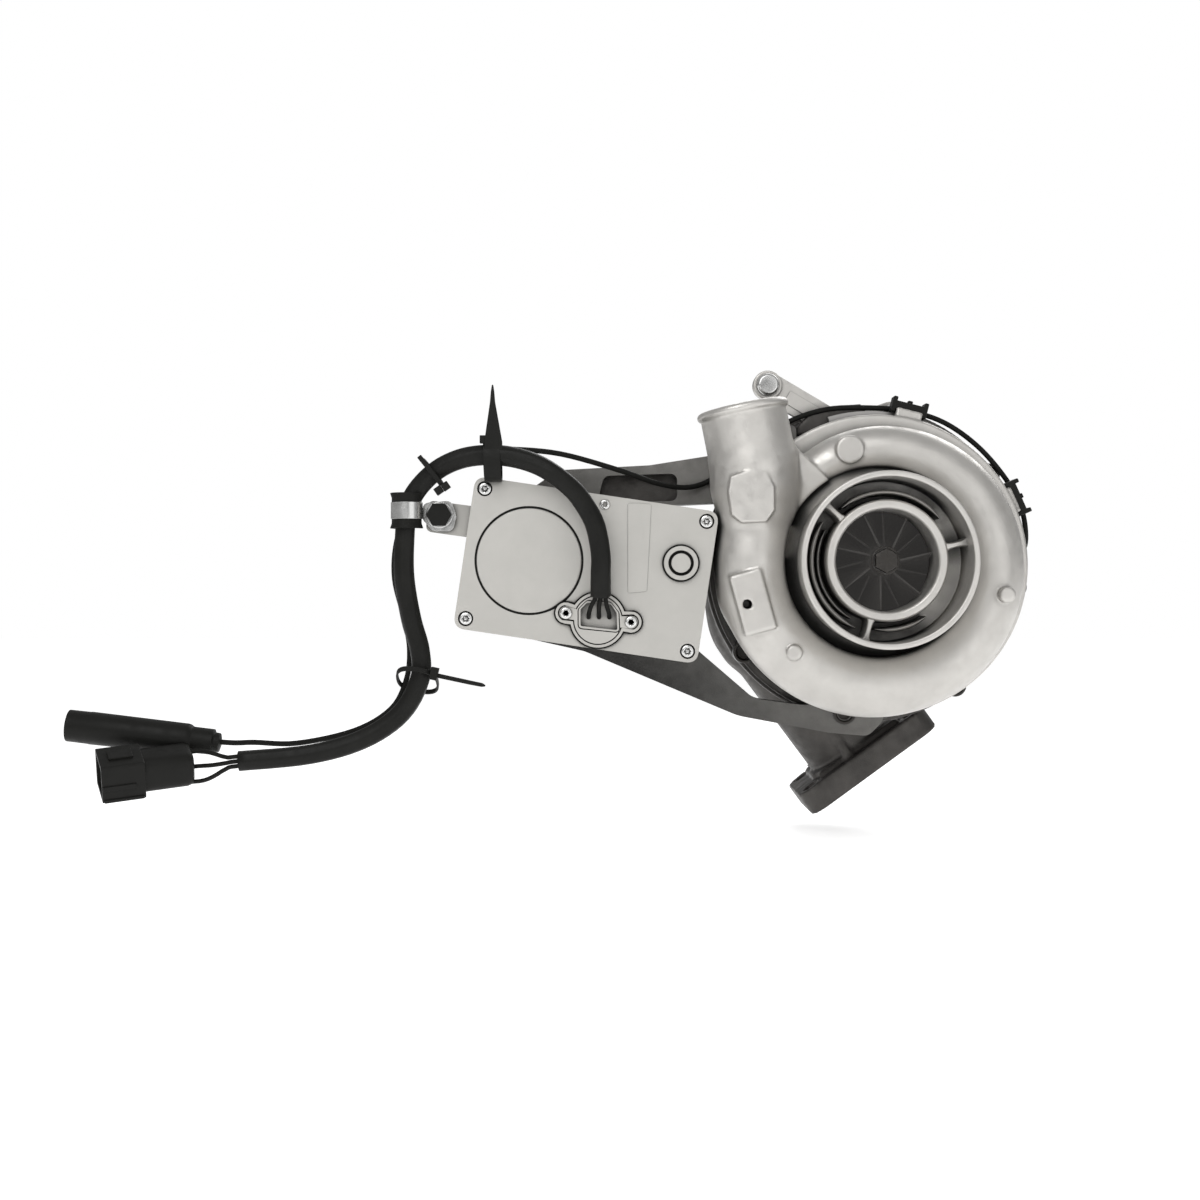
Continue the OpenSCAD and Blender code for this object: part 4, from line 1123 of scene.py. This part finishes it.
def star_screw(centre, head_r, y0, y1, depth=1.6):
    """A pan-head screw facing the inlet with a six-point socket."""
    points, faces = [], []
    sides = 48
    rings = []
    for reach, y in ((0.46, y0 + depth), (0.46, y0 + 0.1), (0.62, y0), (0.86, y0 + 0.15),
                     (1.0, y0 + 0.8), (1.0, y1)):
        ring = []
        for k in range(sides):
            angle = 2 * math.pi * k / sides
            star = 1 + 0.14 * math.cos(6 * angle) if reach < 0.5 else 1
            ring.append((centre[0] + head_r * reach * star * math.cos(angle), y,
                         centre[1] + head_r * reach * star * math.sin(angle)))
        rings.append(ring)
    points = [p for ring in rings for p in ring]
    for r in range(len(rings) - 1):
        for k in range(sides):
            a, b = r * sides + k, r * sides + (k + 1) % sides
            faces.append([a, b, b + sides, a + sides])
    faces.append(list(range(sides)))
    faces.append([(len(rings) - 1) * sides + k for k in range(sides)])
    return points, faces


def make_actuator():
    holes = [round_loop(place, 4.5, 32) for place in CASE_SCREWS]
    holes.append(round_loop(MOTOR_POS, MOTOR_CAP_R + 1.3, 96))
    holes.append(socket_loop(1.0))
    floors = [turned([(0, 43.6), (5.2, 43.6), (5.2, 49), (0, 49)], place, 0.2, 32)
              for place in CASE_SCREWS]
    floors.append(turned([(0, 47.5), (32.5, 47.5), (32.5, 49), (0, 49)], MOTOR_POS, 0.2, 64))
    floors.append(slab(socket_loop(2.0), 42, 49.5))
    front = slab(case_loop(), CASE_FRONT, CASE_JOINT - 0.15, holes)
    step_lines = [
        slab(corner_loop([(-141, 34), (-134.4, 33.4), (-137, -17.5), (-148, -18.5), (-148, 34)],
                         1.2), CASE_FRONT - 0.5, CASE_FRONT + 1)]
    piece("actuator_cover", *joined(front, *floors, *step_lines), "actuator_casting", "root",
          "actuator_front_cover", bevel=0.55)
    shell = slab(case_loop(0.2), CASE_JOINT + 0.15, CASE_BACK - 1)
    ribs = [slab(corner_loop([in_case(x - 1.6, -CASE_H / 2 + 9), in_case(x + 1.6, -CASE_H / 2 + 9),
                              in_case(x + 1.6, CASE_H / 2 - 9), in_case(x - 1.6, CASE_H / 2 - 9)],
                             1), CASE_BACK - 1.5, CASE_BACK) for x in (-60, -48, 58)]
    piece("actuator_case", *joined(shell, *ribs), "actuator_casting", "root",
          "actuator_housing", bevel=1.1)
    screws = [star_screw(place, 4.0, 40.3, 44) for place in CASE_SCREWS]
    screws.append(star_screw((-161.5, 33.4), 3.1, 38.9, 41))
    piece("case_screws", *joined(*screws), "bright_steel", "root", "front_cover_screws")
    cap = turned([(0, 39.4), (MOTOR_CAP_R, 39.4), (MOTOR_CAP_R, 47.6), (0, 47.6)], MOTOR_POS, 0.8,
                 128)
    piece("motor_cap", *cap, "actuator_casting", "root", "motor")
    plug = joined(
        turned([(0, 36.4), (5.7, 36.2), (5.7, 40.4), (0, 40.4)], SHAFT_POS, 0.5, 96),
        turned([(7.4, 36.4), (10, 36.4), (10, 40.4), (7.4, 40.4)], SHAFT_POS, 0.4, 96))
    piece("plug", *plug, "actuator_casting", "root", "shaft_plug")
    plate = joined(
        slab(ear_plate_loop(), 37, CASE_FRONT + 0.2, [ear_plate_loop(-1.5)]),
        slab(ear_plate_loop(-2.2), 36.8, CASE_FRONT + 0.2, [socket_loop(0.5)]),
        slab(socket_loop(-0.1), 36.8, CASE_FRONT + 0.2, [socket_loop(-1.2)]))
    piece("socket_plate", *plate, "actuator_casting", "root", "connector_plate", bevel=0.2,
          sharp=50)
    # Painted shade: black rings at the floors of the outline gaps round the connector plate, motor cap
    # and shaft plug stand in for the shade in those gaps.
    outline_shade_rings = joined(
        slab(ear_plate_loop(0.9), 38.6, CASE_FRONT + 0.2, [socket_loop(-1.0)]),
        turned([(MOTOR_CAP_R - 0.6, 40.6), (MOTOR_CAP_R + 1.5, 40.6), (MOTOR_CAP_R + 1.5, 47),
                (MOTOR_CAP_R - 0.6, 47)], MOTOR_POS, 0.2, 128),
        turned([(0, 38.6), (11, 38.6), (11, 40.4), (0, 40.4)], SHAFT_POS, 0.2, 96))
    piece("painted_shade_rings", *outline_shade_rings, "black_rubber", "root", "connector_plate")
    lugs = [star_screw(ear, 3.6, 35.2, 37) for ear in PLATE_EARS]
    piece("socket_screws", *joined(*lugs), "bright_steel", "root", "connector_plate_screws")


make_actuator()

# ---- bracket, clamp and bolts ----

TOP_BOLT, LOW_BOLT, LIFT_BOLT = (polar(FLANGE_BOLT_R, a) for a in (126, 261, 81))
HOUSING_BOLTS = ((-220, -20), (-160, -30), (-160, 36))


def make_bracket():
    outline = corner_loop(
        [(-228, 38), (-214, 40), (-203, 48), (-190, 57), (-134, 60), (-93, 66.5), (-60, 88), (-44, 84),
         (-44, 70), (-88, 37), (-150, 34), (-150, -33), (-120, -40), (-70, -83), (-40, -87),
         (0, -84), (12, -94), (0, -106), (-24, -104), (-80, -93.5), (-174, -54), (-214, -45),
         (-228, -30)],
        [6, 8, 8, 8, 30, 12, 8, 5, 5, 12, 5, 6, 14, 16, 30, 9, 7, 8, 20, 40, 20, 8, 8], 8)
    holes = [round_loop(place, 4.2, 32) for place in (TOP_BOLT, LOW_BOLT)]
    holes.append(corner_loop([(-166, 38), (-117, 38), (-117, 55), (-162, 53.5)], 5))
    plate = slab(outline, 90.2, 103.8, holes)
    # The pocket's floor is real, but it takes the darker iron finish as painted shade in the recess.
    pocket_shade_floor = slab(corner_loop([(-168, 36), (-115, 36), (-115, 57), (-164, 55.5)], 5), 100, 103)
    piece("bracket", *plate, "bracket_iron", "root", "actuator_bracket", bevel=1.8, sharp=50)
    piece("bracket_pocket", *pocket_shade_floor, "iron_casting", "root", "actuator_bracket", bevel=0.4)


def socket_head(where, y0, y1, stem):
    """A socket-head screw facing the inlet, with its stem down to stem."""
    return turned([(0, y0 + 4), (4.6, y0 + 4), (4.8, y0 + 0.6), (5.4, y0), (7, y0), (7.2, y1),
                   (4, y1), (4, stem), (0, stem)], where, 0.4, 48)


def make_bolts():
    mounted = {"flange": [], "bracket": []}
    for k, angle in enumerate(FLANGE_ANGLES):
        where = polar(FLANGE_BOLT_R, angle)
        if k in (1, 3, 7):
            continue
        mounted["bracket" if k == 2 else "flange"].append(
            socket_head(where, 91 if k == 2 else 97, 98.2 if k == 2 else 104.2, 119))
    mounted["bracket"].append(socket_head(LOW_BOLT, 89, 98.2, 119))
    for where in HOUSING_BOLTS:
        points, faces = hexagon(where, 10, -109, -104)
        mounted["bracket"].append(([(x, -y, z) for x, y, z in points], faces))
        mounted["bracket"].append(turned([(0, 86.2), (3, 86.2), (3, 105), (0, 105)], where, 0.2, 24))
    piece("flange_screws", *joined(*mounted["flange"]), "black_steel", "root", "flange_bolts",
          bevel=0.3)
    piece("bracket_screws", *joined(*mounted["bracket"]), "black_steel", "root", "bracket_bolts",
          bevel=0.3)
    rear = []
    for k in range(6):
        where = polar(86.5, 30 + 60 * k)
        points, faces = hexagon(where, 10, -91, -86)
        rear.append(([(x, -y, z) for x, y, z in points], faces))
        rear.append(turned([(0, 72), (3, 72), (3, 87), (0, 87)], where, 0.2, 24))
    piece("cover_screws", *joined(*rear), "steel", "root", "cover_bolts", bevel=0.3)


CLAMP_POS = (-277.5, 40.5, 29.7)
CLAMP_BOLT = (-259, 27.5)


def clamp_strip(y_out, half_height, flare=0.0):
    """A strap bent round the conduit, open towards the bolt tab."""
    points, faces = [], []
    steps = 30
    rows = ((-1, flare), (-0.72, 0), (0.72, 0), (1, flare)) if flare else ((-1, 0), (1, 0))
    path = []
    for k in range(steps + 1):
        a = math.radians(75 + 275 * k / steps)
        path.append((CLAMP_POS[0] + y_out * math.cos(a), CLAMP_POS[1] + y_out * math.sin(a)))
    thick = 0.9 if not flare else 1.6
    for i, (x, y) in enumerate(path):
        out = Vector((x - CLAMP_POS[0], y - CLAMP_POS[1])).normalized()
        for up, lean in rows:
            points.append((x + out.x * lean, y + out.y * lean, CLAMP_POS[2] + up * half_height))
        for up, _ in reversed(rows):
            points.append((x - out.x * thick, y - out.y * thick, CLAMP_POS[2] + up * half_height))
    count = 2 * len(rows)
    for i in range(steps):
        for c in range(count):
            a, b = count * i + c, count * i + (c + 1) % count
            faces.append([a, b, b + count, a + count])
    faces += [list(range(count)), [count * steps + c for c in range(count)]]
    return points, faces


def make_clamp():
    band = joined(
        clamp_strip(9.5, 4.9),
        slab(corner_loop([(-269, 24.8), (-263, 18), (-251, 18), (-249, 27), (-252, 36),
                          (-269, 34.6)], 4.5), 46.3, 50, [round_loop(CLAMP_BOLT, 3.9, 24)]))
    piece("p_clamp", *band, "bright_steel", "root", "clamp_band", bevel=0.3)
    cushion = clamp_strip(9, 10.4, flare=1.0)
    piece("cushion", *cushion, "black_rubber", "root", "clamp_cushion", bevel=0.4)
    tab = slab(corner_loop([(-267.5, 18), (-240, 14.2), (-240, 33), (-266, 36.4)], [4, 1, 1, 4]),
               50.2, 54, [round_loop(CLAMP_BOLT, 4.1, 24)])
    piece("tab", *tab, "actuator_casting", "root", "clamp_tab", bevel=0.6)
    bolt = joined(hexagon(CLAMP_BOLT, 13, 40.7, 45.2, 30, face=1.11),
                  turned([(0, 45), (4, 45), (4, 57.6), (0, 57.6)], CLAMP_BOLT, 0.5, 32))
    piece("clamp_screw", *bolt, "black_plastic", "root", "clamp_bolt", bevel=0.1)
    ring = washer(CLAMP_BOLT, 4, 7.9, 45.2, 46.3)
    piece("clamp_washer", *ring, "bright_steel", "root", "clamp_bolt", bevel=0.2)


def make_lifting_arm():
    eye, bend = (-61, 110), (-17, 84)
    run = Vector((bend[0] - eye[0], bend[1] - eye[1])).normalized()
    side = Vector((-run.y, run.x)) * 8
    drop = Vector((LIFT_BOLT[0] - bend[0], LIFT_BOLT[1] - bend[1])).normalized()
    flank = Vector((-drop.y, drop.x)) * 8
    facing = math.degrees(math.atan2(side.y, side.x))
    outline = round_loop(eye, 8.6, 14, facing, 180)
    outline += [(bend[0] - side.x, bend[1] - side.y), (bend[0] - flank.x, bend[1] - flank.y)]
    outline += round_loop(LIFT_BOLT, 8, 14, math.degrees(math.atan2(-flank.y, -flank.x)), 180)
    outline += [(bend[0] + side.x + 1, bend[1] + side.y)]
    arm = slab(outline, 98.2, 103.8, [round_loop(eye, 5.4, 32)])
    ring = turned([(5.3, 96), (8.9, 96), (8.9, 106), (5.3, 106)], eye, 0.9, 48)
    rim = slab([(eye[0] + run.x * 14 + side.x * s, eye[1] + run.y * 14 + side.y * s)
                for s in (0.5, -0.5)]
               + [(bend[0] + side.x * s, bend[1] + side.y * s) for s in (-0.5, 0.5)], 97.4, 99)
    piece("lifting_eye_arm", *joined(arm, ring, rim), "cover_casting", "root", "lifting_arm",
          bevel=0.8, sharp=50)
    pin = joined(
        turned([(0, 92), (5.4, 92), (6.6, 93), (7, 94.4), (5.2, 94.6), (5.2, 107.6), (0, 107.6)],
               eye, 0.4, 48),
        hexagon(LIFT_BOLT, 11, 92.6, 98), turned([(0, 97), (4, 97), (4, 119), (0, 119)], LIFT_BOLT))
    piece("lifting_pins", *pin, "bright_steel", "root", "lifting_arm_pin", bevel=0.3)


def make_lead_clips():
    clips = []
    for angle in (76, 24):
        x, z = polar(1, angle)
        for reach, y, size in ((96.6, 82, (5.4, 12, 19)), (100, 82, (2.6, 5, 3))):
            clips.append(brick((x * reach, y, z * reach), size, angle))
        for s in (-1, 1):
            clips.append(brick((x * 97 - z * s * 9.6, 82, z * 97 + x * s * 9.6), (9.5, 12, 2.6), angle))
    piece("lead_saddles", *joined(*clips), "black_plastic", "root", "lead_clips", bevel=0.6)


make_bracket()
make_bolts()
make_clamp()
make_lifting_arm()
make_lead_clips()

# ---- CAD pieces that keep their shape ----

KEPT = {
    "machined_alloy": ["compressor_backplate"],
    "steel": ["backplate_screws", "cover_clamp_plates", "oil_flinger", "shaft_seal_rings",
              "heat_shield", "nozzle_ring", "unison_ring", "vane_crank", "link_rod",
              "output_lever", "motor_pinion", "intermediate_gear", "sector_gear"]
             + [f"vane_{k}" for k in range(1, 10)],
    "bearing_bronze": ["thrust_bearing", "journal_bearing_front", "journal_bearing_rear",
                       "crank_bush", "output_bush"],
    "black_rubber": ["backplate_o_ring"],
    "black_plastic": ["speed_sensor"],
}
for finish, names in KEPT.items():
    for name in names:
        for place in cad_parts[name].material_slots:
            place.material = FINISHES[finish]

# ---- floor, light and background ----


def make_stage():
    floor_material = surface("floor", (0.93, 0.93, 0.93), 0, 0.7, 300, 0.02 * MM, 0.01)
    shader = floor_material.node_tree.nodes["Principled BSDF"]
    shader.inputs["Emission Color"].default_value = (1, 1, 1, 1)
    shader.inputs["Emission Strength"].default_value = 0.6
    mesh = bpy.data.meshes.new("floor")
    reach = 6.0
    height = cad_box[0][2] - 0.012
    mesh.from_pydata([(-reach, -reach, height), (reach, -reach, height), (reach, reach, height),
                      (-reach, reach, height)], [], [[0, 1, 2, 3]])
    mesh.materials.append(floor_material)
    floor = bpy.data.objects.new("floor", mesh)
    bpy.context.scene.collection.objects.link(floor)


def softbox(name, place, size, power, target=(-90, 60, 0)):
    """A square area light at a shaft-frame place, aimed at a target."""
    data = bpy.data.lights.new(name, "AREA")
    data.shape = "RECTANGLE"
    data.size, data.size_y = size
    data.energy = power
    lamp = bpy.data.objects.new(name, data)
    lamp.location = at(place)
    lamp.rotation_euler = (at(target) - at(place)).to_track_quat("-Z", "Y").to_euler()
    bpy.context.scene.collection.objects.link(lamp)


def make_world():
    world = bpy.data.worlds.new("studio")
    bpy.context.scene.world = world
    world.use_nodes = True
    tree = world.node_tree
    tree.nodes.clear()
    out = tree.nodes.new("ShaderNodeOutputWorld")
    seen = tree.nodes.new("ShaderNodeBackground")
    seen.inputs["Color"].default_value = (1, 1, 1, 1)
    seen.inputs["Strength"].default_value = 1.0
    soft = tree.nodes.new("ShaderNodeBackground")
    soft.inputs["Strength"].default_value = 0.5
    where = tree.nodes.new("ShaderNodeTexCoord")
    split = tree.nodes.new("ShaderNodeSeparateXYZ")
    height = tree.nodes.new("ShaderNodeMapRange")
    height.inputs["From Min"].default_value = -0.6
    height.inputs["From Max"].default_value = 0.8
    height.inputs["To Min"].default_value = 0.28
    height.inputs["To Max"].default_value = 1.0
    tree.links.new(where.outputs["Generated"], split.inputs["Vector"])
    tree.links.new(split.outputs["Z"], height.inputs["Value"])
    tree.links.new(height.outputs["Result"], soft.inputs["Color"])
    rays = tree.nodes.new("ShaderNodeLightPath")
    mix = tree.nodes.new("ShaderNodeMixShader")
    tree.links.new(rays.outputs["Is Camera Ray"], mix.inputs["Fac"])
    tree.links.new(soft.outputs["Background"], mix.inputs[1])
    tree.links.new(seen.outputs["Background"], mix.inputs[2])
    tree.links.new(mix.outputs["Shader"], out.inputs["Surface"])


make_stage()
make_world()
softbox("key", (-500, -900, 700), (0.9, 0.9), 7)
softbox("fill", (500, -900, 150), (0.8, 1.2), 2.5)
softbox("rim", (300, 900, 700), (1.0, 0.6), 6)
bpy.context.scene.view_settings.view_transform = "Standard"
